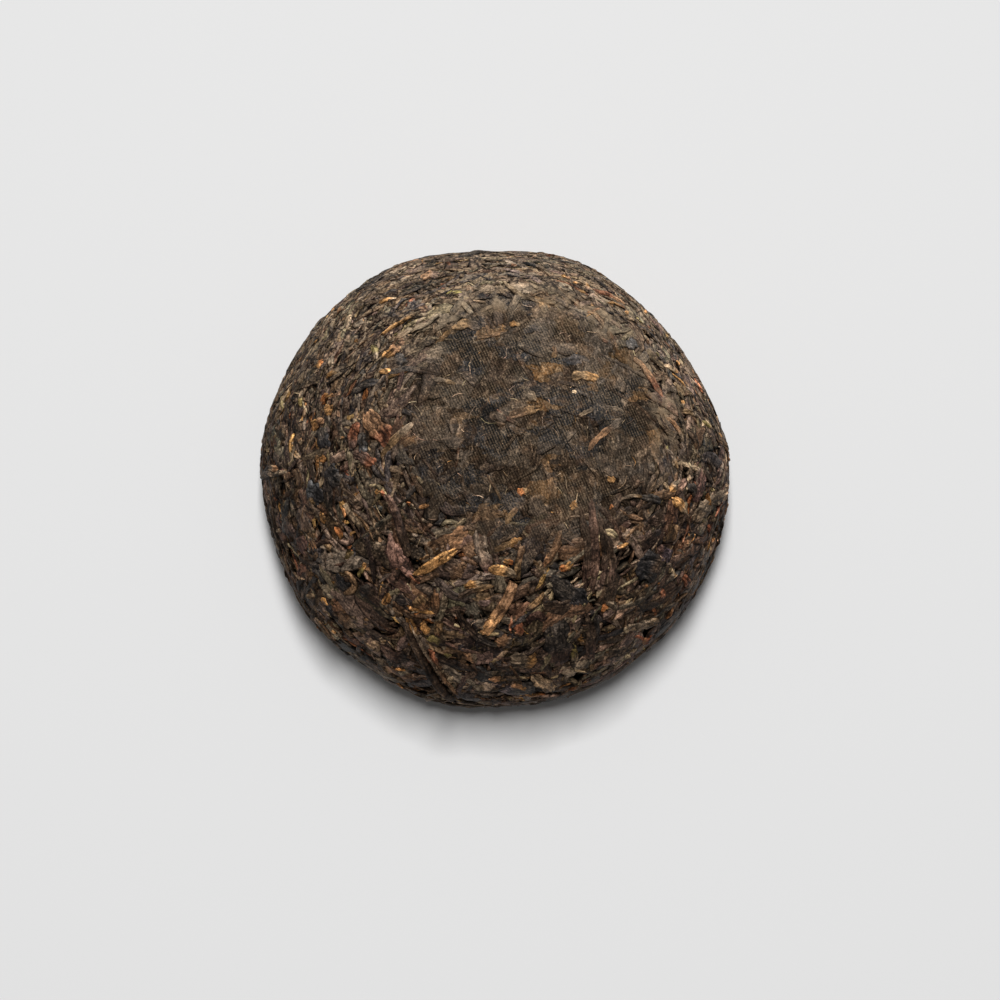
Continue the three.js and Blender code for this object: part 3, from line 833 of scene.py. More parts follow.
KINDS = {
    "dark_strips": STRIP | {
        "on_coarse": 0.5, "width": (0.45, 1.4), "sunk": 0.75,
        "colours": main_colours(
            ("blue_black", "black_brown", "umber", "plum", "grey_brown"), (3, 5, 7, 2, 2), 0.18
        ),
    },
    "brown_strips": STRIP | {
        "in_print": 0.1, "on_coarse": 0.45, "coarser": 0.2, "width": (0.4, 1.3), "dip": 0.45, "sunk": 0.55,
        "colours": main_colours(("umber", "brown", "grey_brown", "tan_grey", "tan"), (5, 5, 7, 4, 2), 0.18),
    },
    "flat_leaves": PLAIN_KIND | {
        "in_print": 0.25, "on_coarse": 0.85, "aligned": 0.8,
        "length": (2.4, 8.0), "width": (1.2, 3.2), "blunt": (5.0, 16.0), "tip": (0.4, 0.95),
        "ragged": 0.26, "fullness": (3.0, 7.0), "wave": 0.12, "groove": 0.8, "folds": (1.5, 4.5),
        "sunk": 0.7, "crown": 0.13,
        "colours": main_colours(
            ("blue_black", "black_brown", "umber", "plum", "brown", "grey_brown", "tan_grey"),
            (4, 4, 5, 2, 4, 5, 2), 0.18,
        ),
    },
    "golden_buds": PLAIN_KIND | {
        "on_flank": 0.85, "in_print": 0.2, "coarser": 0.2, "aligned": 0.6, "two_toned": 0.5,
        "length": (1.5, 5.0), "width": (0.5, 1.3), "blunt": (1.8, 4.0), "tip": (0.08, 0.4),
        "fullness": (1.8, 3.0), "dip": 0.4, "twist": 0.8, "crown": 0.3, "tilt": 0.06, "thick": 0.7,
        "colours": main_colours(
            ("red_brown", "brown", "ochre", "orange", "olive", "tan", "gold"), (2, 6, 6, 0.6, 2, 5, 2), 0.25
        ),
    },
    "stems": PLAIN_KIND | {
        "in_print": 0.35, "coarser": 0.15, "length": (3.0, 8.0), "width": (0.35, 0.75),
        "blunt": (8.0, 20.0), "tip": (0.5, 0.95), "ragged": 0.08, "fullness": (1.8, 2.8),
        "wave": 0.05, "twist": 0.5, "groove": 0.3, "crown": 0.5, "tilt": 0.04, "thick": 0.7,
        "colours": main_colours(("umber", "brown", "red_brown", "tan_grey", "tan"), (5, 5, 1, 5, 2)),
    },
    "leaf_crumbs": PLAIN_KIND | {
        "on_coarse": 0.8, "aligned": 0.75, "length": (0.7, 3.0), "width": (0.25, 1.1),
        "blunt": (3.0, 10.0), "tip": (0.3, 0.9), "ragged": 0.25, "fullness": (1.8, 4.0),
        "dip": 0.25, "wave": 0.1, "sunk": 1.15, "crown": 0.35,
        "colours": main_colours(
            ("black_brown", "umber", "red_brown", "brown", "grey_brown", "ochre", "tan_grey", "tan"),
            (5, 6, 0.6, 5, 6, 1, 4, 1.5), 0.25,
        ),
    },
    "curled_leaves": PLAIN_KIND | {
        "on_flank": 0.5, "in_print": 0.0, "on_coarse": 1.0, "aligned": 0.3, "curl": 0.4,
        "length": (1.8, 4.0), "width": (0.8, 1.6), "blunt": (3.0, 9.0), "tip": (0.3, 0.8),
        "ragged": 0.14, "fullness": (2.0, 3.5), "dip": 0.4, "wave": 0.1, "groove": 0.5,
        "crown": 0.4, "thick": 0.8,
        "colours": main_colours(
            ("black_brown", "umber", "brown", "grey_brown", "tan_grey", "tan"), (3, 6, 5, 5, 3, 1)
        ),
    },
    "leaf_hairs": PLAIN_KIND | {
        "on_flank": 0.6, "in_print": 1.0, "coarser": 0.0, "aligned": 0.3, "curl": 0.14,
        "length": (1.0, 3.6), "width": (0.08, 0.18), "blunt": (2.0, 4.0), "tip": (0.1, 0.3),
        "ragged": 0.0, "fullness": (2.0, 2.1), "dip": 0.1, "wave": 0.0, "twist": 0.0, "groove": 0.1,
        "sunk": 0.0, "crown": 0.6, "tilt": 0.0, "thick": 0.25,
        "colours": main_colours(("tan", "ochre", "tan_grey", "grey_brown"), (3, 1, 5, 3), 0.3),
    },
}

# The pieces that catch the eye, one on each line: the kind, where the midrib starts and ends in plan, the
# width, how far the middle swings to the left, the lift, and the colours of the start and of the end.
NAMED_LEAVES = """
# The broad plum-brown leaf that runs down the front, and the plates below it.
leaf 9,-22 15.5,-26.5 3.8 0.4 0.6 char blue_black
leaf 8,-26.5 14,-26 3.2 0 0.65 umber black_brown
leaf 10.5,-27 11,-35.5 4.6 0 0.7 char plum
leaf 24.5,-18.5 29.5,-19 4.2 0.3 0.8 blue_black umber
leaf -9,-19 -4,-21.5 3.2 0 0.5 umber brown
# Buds and golden scraps.
bud -14,-21.5 -5,-16.5 2 -0.4 0.8 gold gold
bud -1.5,-20.5 4.5,-21.5 2 0.4 0.75 gold tan
bud -17.5,-24 -19,-26 1.5 0 0.7 ochre gold
bud 31,-4 28.5,-7 1.9 -0.3 0.8 tan_grey gold
bud 28.5,-7 32.5,-9.5 1.9 0.3 0.8 gold tan
leaf 13,12 19,12.5 1.7 0.5 0.4 dull_gold ochre
leaf 1.5,4 9,7 1.7 0.3 0.3 brown dull_gold
leaf 4.5,9 8,9 2.6 0 0.2 tan_grey tan
leaf 2.5,22 5,22 1.2 0 0.3 ochre dull_gold
leaf -7.5,21.5 -1.5,21.5 2.3 0 0.3 dull_gold grey_brown
leaf -29,7.5 -27,7.5 2.2 0 0.5 ochre ochre
leaf -31.5,6 -29.5,5.5 1.1 0 0.6 gold ochre
leaf 4,-8.5 6,-7.5 1.3 0 0.3 orange dull_gold
leaf -18.5,15.5 -15,17.5 2 0.2 0.7 ochre wood
leaf -17,-20.5 -15,-18.5 1.6 0 0.6 orange brown
leaf -5,-23.5 -1.5,-22.5 1.6 0.2 0.7 ochre tan
bud -30,-9.5 -29,-12 1.3 0 0.7 gold ochre
bud -27.5,-12.5 -26.5,-15 1.4 0.3 0.7 orange ochre
bud 30,17 33,16 1.3 0 0.6 tan gold
bud 36,8 36.5,5.5 1.1 0 0.6 tan tan_grey
bud 22,-29.5 23.5,-28.5 1.3 0 0.9 pale tan
leaf 32,8 35,8 1.2 0 0.6 dull_gold tan_grey
strip -15,-9.5 -13.5,-10.5 0.6 0.2 0.5 orange tan_grey
lump 13.5,10 14.5,9.5 0.6 0 0.4 pale pale
# Stalks and twigs.
twig -18.5,-8 -14.5,-18.5 1.8 0.5 0.9 plum umber
lump -20.5,-7.5 -18.5,-8 1.3 0.2 0.9 ochre red_brown
twig 3.5,-22.5 -1.5,-30.5 2 0 1.5 wood straw
twig 4,-22 5,-16.5 1.2 0.2 0.7 dull_gold brown
twig 16,-1 22.5,5.5 1.1 0.5 0.5 wood grey_brown
# Strips and rolled leaves.
twig -15,-28.5 -7,-39.5 1.7 0 2 umber umber
strip -6.5,-26 1,-32.5 1.5 -1.4 1.1 umber char
strip 24,18 29.5,9.5 1.6 0.7 0.7 wood red_brown
strip -19.5,20 -11.5,25 0.8 -0.5 0.8 ochre tan
strip -20.5,18.5 -19.5,15.5 1.2 0.3 0.6 olive tan_grey
strip -19.5,-2 -12.5,4.5 1.5 0 0.5 dull_gold tan_grey
strip -18.5,12.5 -8,12 1.3 0.6 0.55 blue_black black_brown
strip 14.5,5 18,7 0.8 0.3 0.45 tan tan_grey
strip 18,7 23,6.5 0.8 0.5 0.45 grey_brown tan_grey
strip 34.5,0 37,-4 0.9 -0.4 0.7 grey_brown umber
strip 37,-4 38.5,1 0.9 -0.4 0.7 plum grey_brown
strip 28.5,1 30.5,-2.5 0.9 0.4 0.7 grey_brown dull_gold
strip 26,-7.5 32.5,-3.5 2 -0.6 0.8 brown plum
strip 10.5,18.5 10,15 1 0.2 0.3 brown dull_gold
strip 2,-14 4.5,-10 1.1 0.2 0.4 dull_gold brown
strip -1.5,-4.5 1.5,-10 0.5 0.1 0.3 brown dull_gold
strip 12,-4.5 12.5,-7.5 0.35 0.1 0.35 tan_grey tan
strip -29,-15.5 -29,-19.5 0.5 0 0.6 grey_brown grey_brown
strip 35.5,17 36.5,14.5 0.7 0 0.4 plum umber
# Torn leaves and crumpled lumps.
leaf -18,13.5 -14,15.5 2.8 0 0.5 umber blue_black
leaf -11.5,15.5 -8,17 2.2 0 0.5 tan_grey tan_grey
leaf -11.5,15 -8,14.5 1.6 0 0.5 grey_brown grey_brown
leaf 23,19.5 25.5,20 2 0 0.6 slate slate
leaf 6.5,-36.5 10,-38.5 2.6 0.3 0.9 tan tan
leaf 22,-29.5 29,-27 2.2 0.8 0.8 tan_grey dull_gold
leaf -11.5,-32.5 -9,-36.5 2 0 0.7 red_brown brown
leaf 33.5,-9.5 37,-7 3.2 0 0.7 tan_grey tan_grey
lump 2.5,-34.5 8,-34.5 3.4 0 0.9 tan_grey gold
lump -1,-37.5 2.5,-37.5 1.6 0.6 0.8 wood dull_gold
lump 13.5,-32 14,-34.5 1.4 0 0.7 olive tan
lump 18.5,-26 19.5,-26.5 1.5 0 0.6 orange ochre
lump -15,-28 -13,-31 2 0.3 0.8 ochre dull_gold
lump -12,-28.5 -11,-31.5 1.6 0 0.8 ochre tan_grey
lump -9.5,-28 -9.5,-31.5 1.7 0.2 0.8 dull_gold red_brown
lump 0.5,-31.5 3.5,-32.5 3 0.3 0.8 wood grey_brown
strip 11.5,-13.5 8,-20.5 1.4 0.2 0.8 brown wood
strip 7.5,-21.5 5.5,-24.5 1.4 0 0.7 umber brown
strip 8.5,-24 5,-27 1.3 0.2 0.8 dull_gold umber
leaf 13.5,-19 11,-20.5 1.5 0 0.5 ochre orange
strip 23,-15.5 20.5,-16.5 0.9 0 0.5 ochre wood
leaf 24.5,-19.5 28.5,-21 2.6 0 0.8 blue_black char
strip 18.5,-25 20,-28.5 1.2 1.6 0.7 tan_grey brown
leaf 32.5,-19.5 34,-20.5 1.6 0 0.6 red_brown wood
leaf 29.5,-22 29,-24 1.4 0 0.5 red_brown plum
leaf 27.5,-29 25.5,-30.5 2.2 0 0.6 red_brown wood
lump 19.5,-33 24,-31.5 4 0.3 0.8 grey_brown tan_grey
leaf 4.5,-28.5 4,-31 1.6 0 0.6 red_brown wood
strip 4.5,-39 9,-39 1.1 0.2 0.7 ochre orange
strip 12.5,-38 15,-37 1.1 0 0.7 orange wood
strip 2.5,-38 6,-38.5 1.2 0.3 0.8 wood ochre
strip 17.5,-27 17.5,-32 1.1 0 0.7 char black_brown
leaf 16,-27.5 16.5,-34.5 2 0 0.6 umber plum
lump 19.5,-9.5 20,-10 1 0 0.5 orange wood
leaf 13,-9.5 14,-10.5 1.5 0 0.3 ochre dull_gold
strip 21,-8.5 25,-7.5 0.7 0.3 0.5 tan_grey dull_gold
strip 24.5,-7.5 28,-8 1.4 0 0.7 char blue_black
leaf 32,-4.5 34,-6 1.7 0 0.8 char umber
leaf 36,-7 40,-3 2.6 0.3 0.8 tan_grey wood
lump 32.5,-14 33.5,-14 1.1 0 0.5 wood tan
strip -0.5,-18 5,-15.5 1.4 0 0.4 dull_gold ochre
leaf 1.5,-19 3.5,-19.5 1 0 0.5 ochre orange
leaf 19,-5 20.5,-5.5 1.1 0 0.4 ochre gold
bud 28,-4.5 29,-7.5 1.1 0 0.7 tan gold
leaf -11.5,-19 -3.5,-14.5 3.6 0.3 0.25 brown wood
leaf -21,-17.5 -18,-17 2.4 0.3 0.6 tan_grey umber
leaf -23.5,-21.5 -22,-19 0.9 0 0.6 olive gold
leaf -18,-22.5 -15.5,-20 1.6 0 0.7 plum umber
leaf -13,-24.5 -11,-27 3 0 0.6 dull_gold wood
strip -10,-23 -9.5,-28 1.6 0 0.7 wood brown
strip -6.5,-25.5 0.5,-23 1.3 0.8 0.8 umber dull_gold
leaf -12,-31 -7.5,-32.5 1.5 0.3 0.6 olive umber
lump -5,-34.5 -2.5,-34 2.6 0 0.8 wood tan_grey
lump -8,-33.5 -7.5,-34.5 1.2 0 0.6 olive tan
leaf -20,-32 -14,-34.5 3.4 0 0.7 plum char
leaf -27.5,-25.5 -23,-29 4 0 0.5 brown tan_grey
strip -31,-25 -26,-31 1.2 0.3 0.8 tan_grey grey_brown
lump -19.5,-30.5 -18.5,-31.5 1.2 0 0.6 tan dull_gold
leaf -32.5,-4.5 -29.5,-8 3.2 0 0.6 slate blue_black
leaf -29,-2.5 -26,-5.5 3.2 0 0.6 blue_black char
lump -31.5,-14 -30.5,-16 1.4 0 0.6 brown wood
strip -34,-16 -29.5,-19 1.2 0 0.7 black_brown char
leaf -27.5,-20.5 -24.5,-23.5 2.2 0 0.6 blue_black char
leaf -23.5,-23 -20,-25 2.6 0.2 0.6 char umber
leaf -29,-24.5 -26.5,-27 2 0 0.7 blue_black black_brown
strip -24.5,-15 -24,-14 0.6 0.5 0.6 gold ochre
strip -40.5,-0.5 -35.5,-2 1.3 0 0.8 grey_brown tan_grey
bud -19,13 -16.5,13 1.3 0 0.7 ochre gold
strip -24,9.5 -18,11.5 1.7 0.3 0.7 char blue_black
strip -11,11.5 -5.5,10.5 0.9 0 0.5 tan_grey dull_gold
strip -27.5,17.5 -27.5,15 1.3 0.3 0.7 tan_grey tan
strip -24,25 -25,22 1.3 0.4 0.7 tan tan_grey
strip -27,25 -27.5,22 0.9 0.2 0.7 tan grey_brown
strip -19.5,26.5 -16,27.5 1 0.1 0.7 ochre tan
bud -26.5,26 -25,27 1.3 0 0.7 wood tan
leaf -30,15.5 -28.5,17 1.3 0 0.6 ochre orange
strip -28.5,13.5 -25.5,14 1 0.2 0.7 ochre dull_gold
strip -32.5,12.5 -33,9 1.1 0.2 0.7 tan_grey olive
leaf -29.5,9 -27.5,10.5 1.6 0 0.6 orange ochre
leaf -31.5,4.5 -28.5,6 1.6 0.3 0.6 ochre wood
leaf -30,5 -28.5,1 2.8 0 0.7 char blue_black
lump -34.5,1.5 -33.5,0 1.1 0 0.7 dull_gold tan
lump -33.5,3.5 -33,2.5 1 0 0.7 wood tan
leaf -39,0 -37,-1 1.3 0 0.7 tan wood
leaf -13,32.5 -9,33 3 0 0.4 wood plum
leaf -3,28.5 3,29 2 0.3 0.15 tan_grey tan
leaf 3,29.5 7.5,29 3 0.3 0.15 tan_grey tan_grey
leaf 6.5,28 9.5,24 1.5 0.4 0.15 dull_gold tan
strip -6.5,37 0.5,39.5 1.2 0 0.9 char black_brown
leaf 13.5,16.5 14.5,15.5 1.6 0 0.3 ochre dull_gold
leaf 11.5,14.5 17,15 2 0.6 0.2 blue_black char
leaf 4.5,20.5 9.5,21 1.8 0.3 0.2 blue_black char
bud 35,7 37,6 1.3 0 0.7 olive tan
strip 32.5,10.5 32.5,9 0.8 0 0.6 ochre tan_grey
bud 26.5,22.5 27.5,20.5 1.1 0 0.6 tan wood
strip 14.5,32 17,30.5 1.1 0 0.7 tan ochre
strip 11.5,32.5 13.5,31.5 1 0 0.7 ochre wood
strip 4.5,35 9.5,33 1.3 0 0.7 char black_brown
strip 16.5,30 23.5,28 1.1 0.2 0.7 red_brown wood
strip 19.5,27.5 23.5,27 0.8 0 0.6 ochre wood
strip 23,25 25.5,24.5 0.9 0 0.6 tan tan_grey
strip 29,7 32,2.5 1.1 0.5 0.7 wood tan_grey
strip 32.5,5 34,1.5 1.6 0.4 0.9 umber brown
leaf 38,4.5 41,2.5 2.1 0 0.8 brown wood
leaf -21.5,6.5 -17.5,0 3.6 0.3 1 wood red_brown
leaf -22.5,5 -24,0 2.2 -0.3 0.9 red_brown plum
leaf -24,-0.5 -20,-3 2.2 0.3 0.9 plum red_brown
leaf -22,3 -22,-1 1.8 0 1.1 char slate
leaf 14.5,-9 15.5,-24 1.5 0 0.6 umber plum
leaf 16,-7.5 16.5,-24.5 1.8 0 0.7 plum plum
leaf 17.5,-9.5 18.5,-24 1.5 0 0.65 umber plum
leaf 19,-14 20,-23 1.7 0.2 0.6 umber plum
twig -14,-28.5 -6,-39 0.3 0 1.7 tan_grey brown
"""
# How the named kinds are shaped: blunt, tip, ragged, fullness and groove.
NAMED_SHAPES = {
    "leaf": (3.4, 0.25, 0.2, 7.0, 0.45),
    "bud": (2.0, 0.06, 0.05, 3.0, 0.3),
    "twig": (40.0, 0.9, 0.03, 3.0, 0.15),
    "strip": (3.0, 0.2, 0.1, 3.0, 0.35),
    "lump": (3.0, 0.3, 0.2, 2.4, 0.6),
}


def dropped(plan):
    """Points of the dome straight below places in plan."""
    dome = RUNS["outside"]
    upper = dome["z"] >= WIDEST_Z
    plan = np.asarray(plan, float)
    height = np.interp(np.hypot(plan[:, 0], plan[:, 1]), dome["r"][upper], dome["z"][upper])
    return on_skin(np.column_stack([plan, height]), "outside")[0]


def named_colours(names):
    """The colours of named leaves, each a little stained by the brown of the cake."""
    colours = np.stack([linear(PALETTE[name]) for name in names])
    return blend(colours, linear(STAIN), NAMED_MELLOW) * BRIGHTEN * NAMED_SHADE


def named_leaves(draw):
    """The batch of named leaves."""
    lines = NAMED_LEAVES.replace(",", " ").strip().splitlines()
    rows = [line.split() for line in lines if not line.startswith("#")]
    count = len(rows)
    numbers = np.array([row[1:8] for row in rows], float)
    start, end = dropped(numbers[:, 0:2]), dropped(numbers[:, 2:4])
    width, bow, lift = numbers[:, 4:].T
    blunt, tip, ragged, fullness, groove = np.array([NAMED_SHAPES[row[0]] for row in rows]).T
    length = np.linalg.norm(end - start, axis=1)
    smooth = smooth_share((start + end) / 2)
    traits = {
        "width": width,
        "bow": bow,
        "kink": 0.02 * length,
        "kink_at": draw.uniform(-0.5, 0.5, count),
        "blunt": blunt,
        "tip": tip,
        "tip_end": tip * 1.2,
        "ragged": blend(ragged, 0.22, smooth),
        "ragged_phase": draw.uniform(0, 6.3, count),
        "slant": draw.normal(0, 0.5, count),
        "jag": draw.normal(0, 0.1, count),
        "fullness": fullness,
        "dip": blend(0.5, 0.3, smooth),
        "wave": 0.08 * (1 - smooth),
        "wave_phase": draw.uniform(0, 6.3, count),
        "twist": draw.normal(0, 0.5, count),
        "twist_phase": draw.uniform(0, 6.3, count),
        "folds": np.clip(width * 1.1, 1.5, 4.5),
        "groove": groove,
        "lift": blend(0.08, 0.0, smooth),
        "crown": lift * blend(0.6, 0.35, smooth),
        "tilt": 0.06 * draw.normal(0, 1, count),
        "crumple": 0.4 * (1 - smooth),
        "limit": blend(lift * 0.8, 0.16, smooth),
        "depth": np.full(count, 1.0),
        "colour": named_colours([row[8] for row in rows]),
        "tip_colour": named_colours([row[9] for row in rows]),
        "turns_at": draw.uniform(0.0, 0.4, count),
    }
    return start, end, "outside", traits


# ---- The core of packed tea dust ----
BALL_STEPS = 128  # cells along each edge of the cube that the ball is made from
CORE_OFF_TABLE = 0.03  # mm


def ball_grid():
    """A ball as the six faces of a cube, each a grid of two angles, pushed out to the sphere. Points that
    the faces share are merged."""
    angle = np.linspace(-np.pi / 4, np.pi / 4, BALL_STEPS + 1)
    a, b = np.meshgrid(np.tan(angle), np.tan(angle), indexing="ij")
    one = np.ones_like(a)
    sides = [
        np.stack(parts, -1)
        for parts in (
            (one, a, b), (-one, b, a), (b, one, a), (a, -one, b), (a, b, one), (b, a, -one),
        )
    ]
    points = unit(np.stack(sides)).reshape(-1, 3)
    size = BALL_STEPS + 1
    row = np.arange(BALL_STEPS)[:, None] * size
    column = np.arange(BALL_STEPS)[None, :]
    corner = (row + column).ravel()
    quads = np.stack([corner, corner + size, corner + size + 1, corner + 1], -1)
    quads = (quads[None] + (np.arange(6) * size * size)[:, None, None]).reshape(-1, 4)
    _, first, merged = np.unique(np.round(points, 6), axis=0, return_index=True, return_inverse=True)
    return points[first], merged.ravel()[quads]


def add_core(material):
    """The core: a ball whose rings slide along the profile so that equal areas stay equal, sunk below
    the skin by a depth that is small under the cloth's print and large under the rough leaves,
    and broken up by random fields of three sizes."""
    ball, quads = ball_grid()
    share = (1 - ball[:, 2]) / 2
    turn = np.arctan2(ball[:, 1], ball[:, 0])
    found = {key: np.interp(share, PROFILE["share"], PROFILE[key]) for key in PLACE_KEYS}
    skin = turned(found["r"], found["z"], turn, share > FOOT_SHARE)
    normal = outward(found, turn)
    smooth = smooth_share(skin)
    coarse = coarse_share(skin)
    lumps = ripples(skin, 5.0, 11)
    bits = ripples(skin, 1.9, 12, 26)
    grit = ripples(skin, 1.0, 13, 30)
    loose = loose_share(skin)
    broken = 0.28 * lumps + 0.3 * bits + 0.16 * grit
    rough_height = -0.4 - 0.45 * loose - 0.4 * coarse + broken * (0.45 + 0.55 * loose)
    smooth_height = -0.05 + 0.04 * lumps + 0.03 * bits + 0.015 * grit
    height = blend(rough_height, smooth_height, smooth)
    points = skin + normal * height[:, None]
    points[:, 2] = np.maximum(points[:, 2], CORE_OFF_TABLE)
    # The depth below the skin, which the finish turns into painted shade.
    deep = np.clip(-height / GAP_DEPTH, 0, 1)
    lie = skin + np.stack([0.3 * bits, 0.8 * lumps, 0 * bits], -1)
    press = np.stack([0.5 + 0.5 * np.clip(bits, -1, 1), deep, 0.5 + 0.5 * np.clip(lumps, -1, 1)], -1)
    names = ("black_brown", "grey_brown", "blue_black", "brown")
    dark, light, blue, brown = (linear(PALETTE[name]) * BRIGHTEN for name in names)
    patches = smoothstep(ripples(skin, 9.0, 14), -0.5, 0.5)[:, None]
    specks = smoothstep(ripples(skin, 3.2, 15), -0.2, 0.6)[:, None]
    tint = blend(blend(dark, brown, specks), blend(blue, light, specks), patches)
    leaf_colour = np.column_stack([tint, np.ones(len(tint))])
    point_values = {"lie": lie, "press": press, "leaf_colour": leaf_colour}
    return add_piece("pressed_core", points, [quads], material, point_values, core_map(share, turn, quads))


def core_map(share, turn, quads):
    """The core's place in the bake's map: the outside as a disc in one corner of the square and the
    hollow as a smaller one in the other, each with equal areas kept equal."""
    in_hollow = share[quads].mean(1) > FOOT_SHARE
    ratio = math.sqrt((1 - FOOT_SHARE) / FOOT_SHARE)
    gap = 0.01
    large = (1 / (1 + math.sqrt(0.5)) - 3 * gap) / (1 + ratio)
    small = large * ratio
    reach = np.where(
        in_hollow[:, None],
        small * np.sqrt(np.maximum(1 - share[quads], 0) / (1 - FOOT_SHARE)),
        large * np.sqrt(share[quads] / FOOT_SHARE),
    )
    middle = np.where(in_hollow[:, None], 1 - small - gap, large + gap)
    angle = turn[quads]
    return np.stack([middle + reach * np.cos(angle), middle + reach * np.sin(angle)], -1).reshape(-1, 2)


# ---- Everything that lies in the skin ----
SCATTER_SEED, FINISH_SEED, NAMED_SEED, LARGE_SEED = 100, 200, 5, 300
LARGE_ACROSS, LARGE_ALONG = 11, 26  # points across a large leaf and along it
COUNTS = {  # outside, in the hollow, points across, points along
    "dark_strips": (1500, 260, 5, 8),
    "brown_strips": (1500, 260, 5, 8),
    "flat_leaves": (1500, 150, 7, 8),
    "golden_buds": (520, 60, 5, 7),
    "stems": (420, 60, 4, 8),
    "leaf_crumbs": (3400, 700, 4, 4),
    "curled_leaves": (320, 40, 5, 9),
    "leaf_hairs": (1300, 100, 3, 6),
}
FINISHES = {
    "dark_strips": leaf_finish("dark_leaf", matt=0.62, film=0.45),
    "brown_strips": leaf_finish("brown_leaf", specular=0.03, matt=0.74, film=0.6),
    "flat_leaves": leaf_finish("flat_leaf", matt=0.6, streaky=3.4),
    "golden_buds": leaf_finish("bud_down", specular=0.02, matt=0.82, film=0.35),
    "stems": leaf_finish("stem_bark", specular=0.03, matt=0.74, film=0.4),
    "leaf_crumbs": leaf_finish("crumb", specular=0.03, matt=0.78, film=0.55),
    "curled_leaves": leaf_finish("curled_leaf", specular=0.04, matt=0.7, film=0.55),
    "leaf_hairs": leaf_finish("leaf_hair", specular=0.0, matt=0.85, film=0.2, blur=0.0),
}

add_core(leaf_finish("tea_dust", specular=0.02, matt=0.8, film=0.55, blur=1.0))
for order, (name, kind) in enumerate(KINDS.items()):
    draws = np.random.default_rng(SCATTER_SEED + order)
    outside, in_hollow, points_across, points_along = COUNTS[name]
    leaf_batches = [
        scattered(kind, "outside", outside, draws),
        scattered(kind, "hollow", in_hollow, draws),
    ]
    add_leaves(name, leaf_batches, points_across, points_along, FINISHES[name], FINISH_SEED + order)
large_batches = [named_leaves(np.random.default_rng(NAMED_SEED))]
large_finish = leaf_finish("large_leaf", matt=0.66, film=0.3, blur=0.3)
add_leaves("large_leaves", large_batches, LARGE_ACROSS, LARGE_ALONG, large_finish, LARGE_SEED)

# ---- Floor, light and camera ----
FLOOR_HALF = 1.5  # metres
FLOOR_SRGB = 232
# Area lights: name, azimuth and elevation in degrees, distance, width and depth in metres, power in watts,
# colour, and what they light. Azimuth 0 is in front and 180 behind.
SOFTBOXES = (
    ("floor_light", 180, 81, 1.2, 0.16, 0.6, 13.5, (1, 1, 1), "floor"),
    ("overhead", 180, 76, 1.2, 0.7, 0.7, 14.5, (1, 1, 1), "cake"),
    ("key", 165, 30, 0.9, 0.45, 0.45, 15.8, (0.9, 0.97, 1.0), "cake"),
)
SURROUND = 0.11  # the strength of the even white light from all sides


def add_floor():
    """A plain pale floor."""
    finish = Finish("floor_paper")
    shade = float(linear(FLOOR_SRGB))
    values = {"Base Color": (shade, shade, shade, 1), "Roughness": 0.9, "Specular IOR Level": 0.0}
    finish.node_output(finish.node("ShaderNodeBsdfPrincipled", {}, values))
    mesh = bpy.data.meshes.new("floor")
    h = FLOOR_HALF
    mesh.from_pydata([(-h, -h, 0), (h, -h, 0), (h, h, 0), (-h, h, 0)], [], [(0, 1, 2, 3)])
    mesh.materials.append(finish.material)
    floor = bpy.data.objects.new("floor", mesh)
    bpy.context.scene.collection.objects.link(floor)


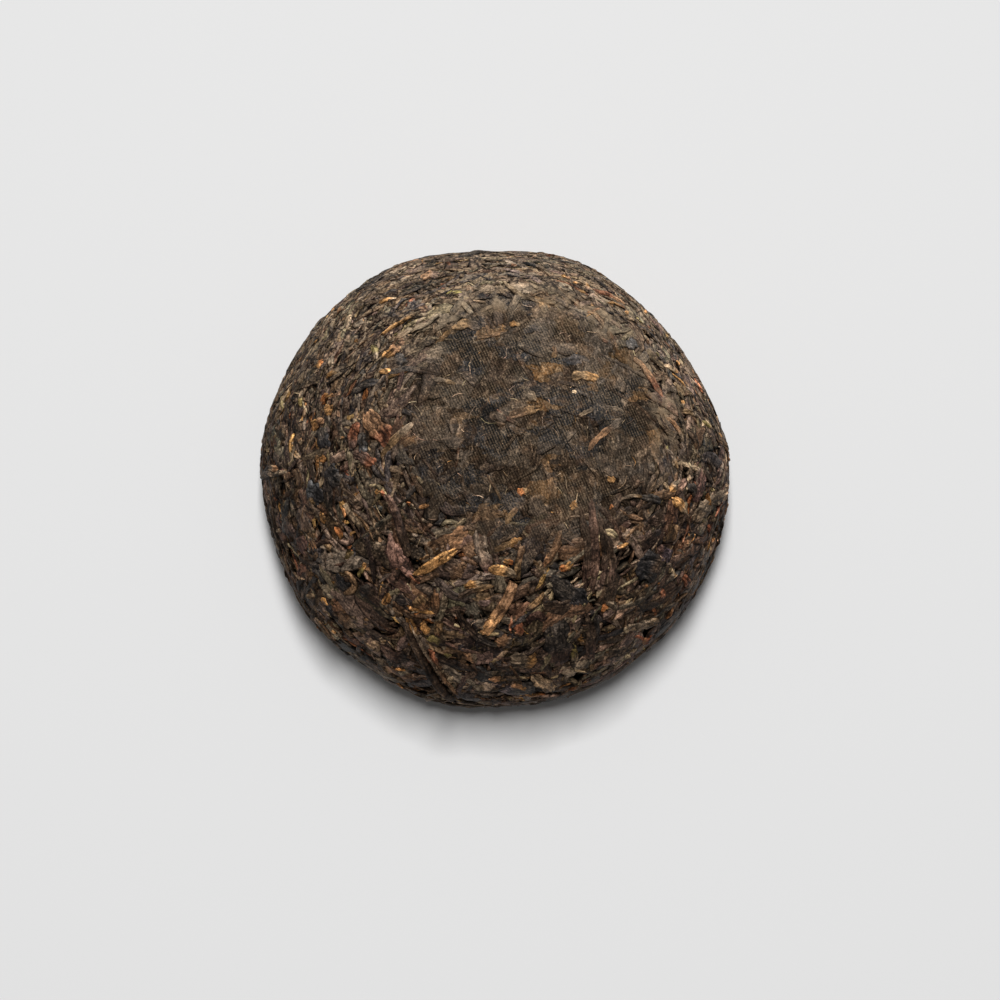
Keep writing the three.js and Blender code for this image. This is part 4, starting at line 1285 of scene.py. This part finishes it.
def add_softbox(name, azimuth, elevation, distance, width, depth, power, colour, wanted):
    """An area light that looks at the cake and lights only what is wanted, the floor or the cake, so that
    each can be lit for itself."""
    light = bpy.data.lights.new(name, "AREA")
    light.shape = "RECTANGLE"
    light.size = width
    light.size_y = depth
    light.energy = power
    light.color = colour
    holder = bpy.data.objects.new(name, light)
    a, e = math.radians(azimuth), math.radians(elevation)
    towards = Vector((math.sin(a) * math.cos(e), -math.cos(a) * math.cos(e), math.sin(e)))
    aim = Vector((0, 0, HEIGHT / 2 * MM))
    holder.location = aim + towards * distance
    holder.rotation_euler = towards.to_track_quat("Z", "Y").to_euler()
    bpy.context.scene.collection.objects.link(holder)
    lit = bpy.data.collections.new(f"{name}_receivers")
    for piece in bpy.context.scene.objects:
        if piece.type == "MESH" and (piece.name == "floor") == (wanted == "floor"):
            lit.objects.link(piece)
    holder.light_linking.receiver_collection = lit


def add_world():
    """An even white surround."""
    world = bpy.data.worlds.new("studio")
    world.use_nodes = True
    world.node_tree.nodes["Background"].inputs["Color"].default_value = (1, 1, 1, 1)
    world.node_tree.nodes["Background"].inputs["Strength"].default_value = SURROUND
    bpy.context.scene.world = world


CAMERA_ELEVATION = 80  # degrees: the dome faced the camera, so it looks down on the cake that lies
CAMERA_DISTANCE = 0.7
OUTLINE_WIDTH, OUTLINE_PIXELS = 83 * MM, 468  # the cake's width, and its width in the photo
PIXEL = OUTLINE_WIDTH / OUTLINE_PIXELS  # what one of the photo's pixels spans at the cake
AIM_HEIGHT = 0.015
AIM_RIGHT, AIM_DOWN = 5.5, 25  # pixels from the cake's middle to the picture's
CLOSER = 1.015  # the widest ring lies below the plane aimed at
IMAGE_SIDE = 1000
SENSOR = 36


def add_camera():
    """The camera, aimed so that the cake's middle falls where the photo has it."""
    e = math.radians(CAMERA_ELEVATION)
    back = Vector((0, -math.cos(e), math.sin(e)))
    up = Vector((0, math.sin(e), math.cos(e)))
    right = Vector((1, 0, 0))
    data = bpy.data.cameras.new("camera")
    data.sensor_width = SENSOR
    data.lens = SENSOR * CAMERA_DISTANCE / PIXEL / IMAGE_SIDE * CLOSER
    camera = bpy.data.objects.new("camera", data)
    aim = Vector((0, 0, AIM_HEIGHT)) + right * AIM_RIGHT * PIXEL - up * AIM_DOWN * PIXEL
    camera.location = aim + back * CAMERA_DISTANCE
    camera.rotation_euler = back.to_track_quat("Z", "Y").to_euler()
    bpy.context.scene.collection.objects.link(camera)
    bpy.context.scene.camera = camera


add_floor()
for softbox in SOFTBOXES:
    add_softbox(*softbox)
add_world()
add_camera()
bpy.context.scene.view_settings.view_transform = "Standard"
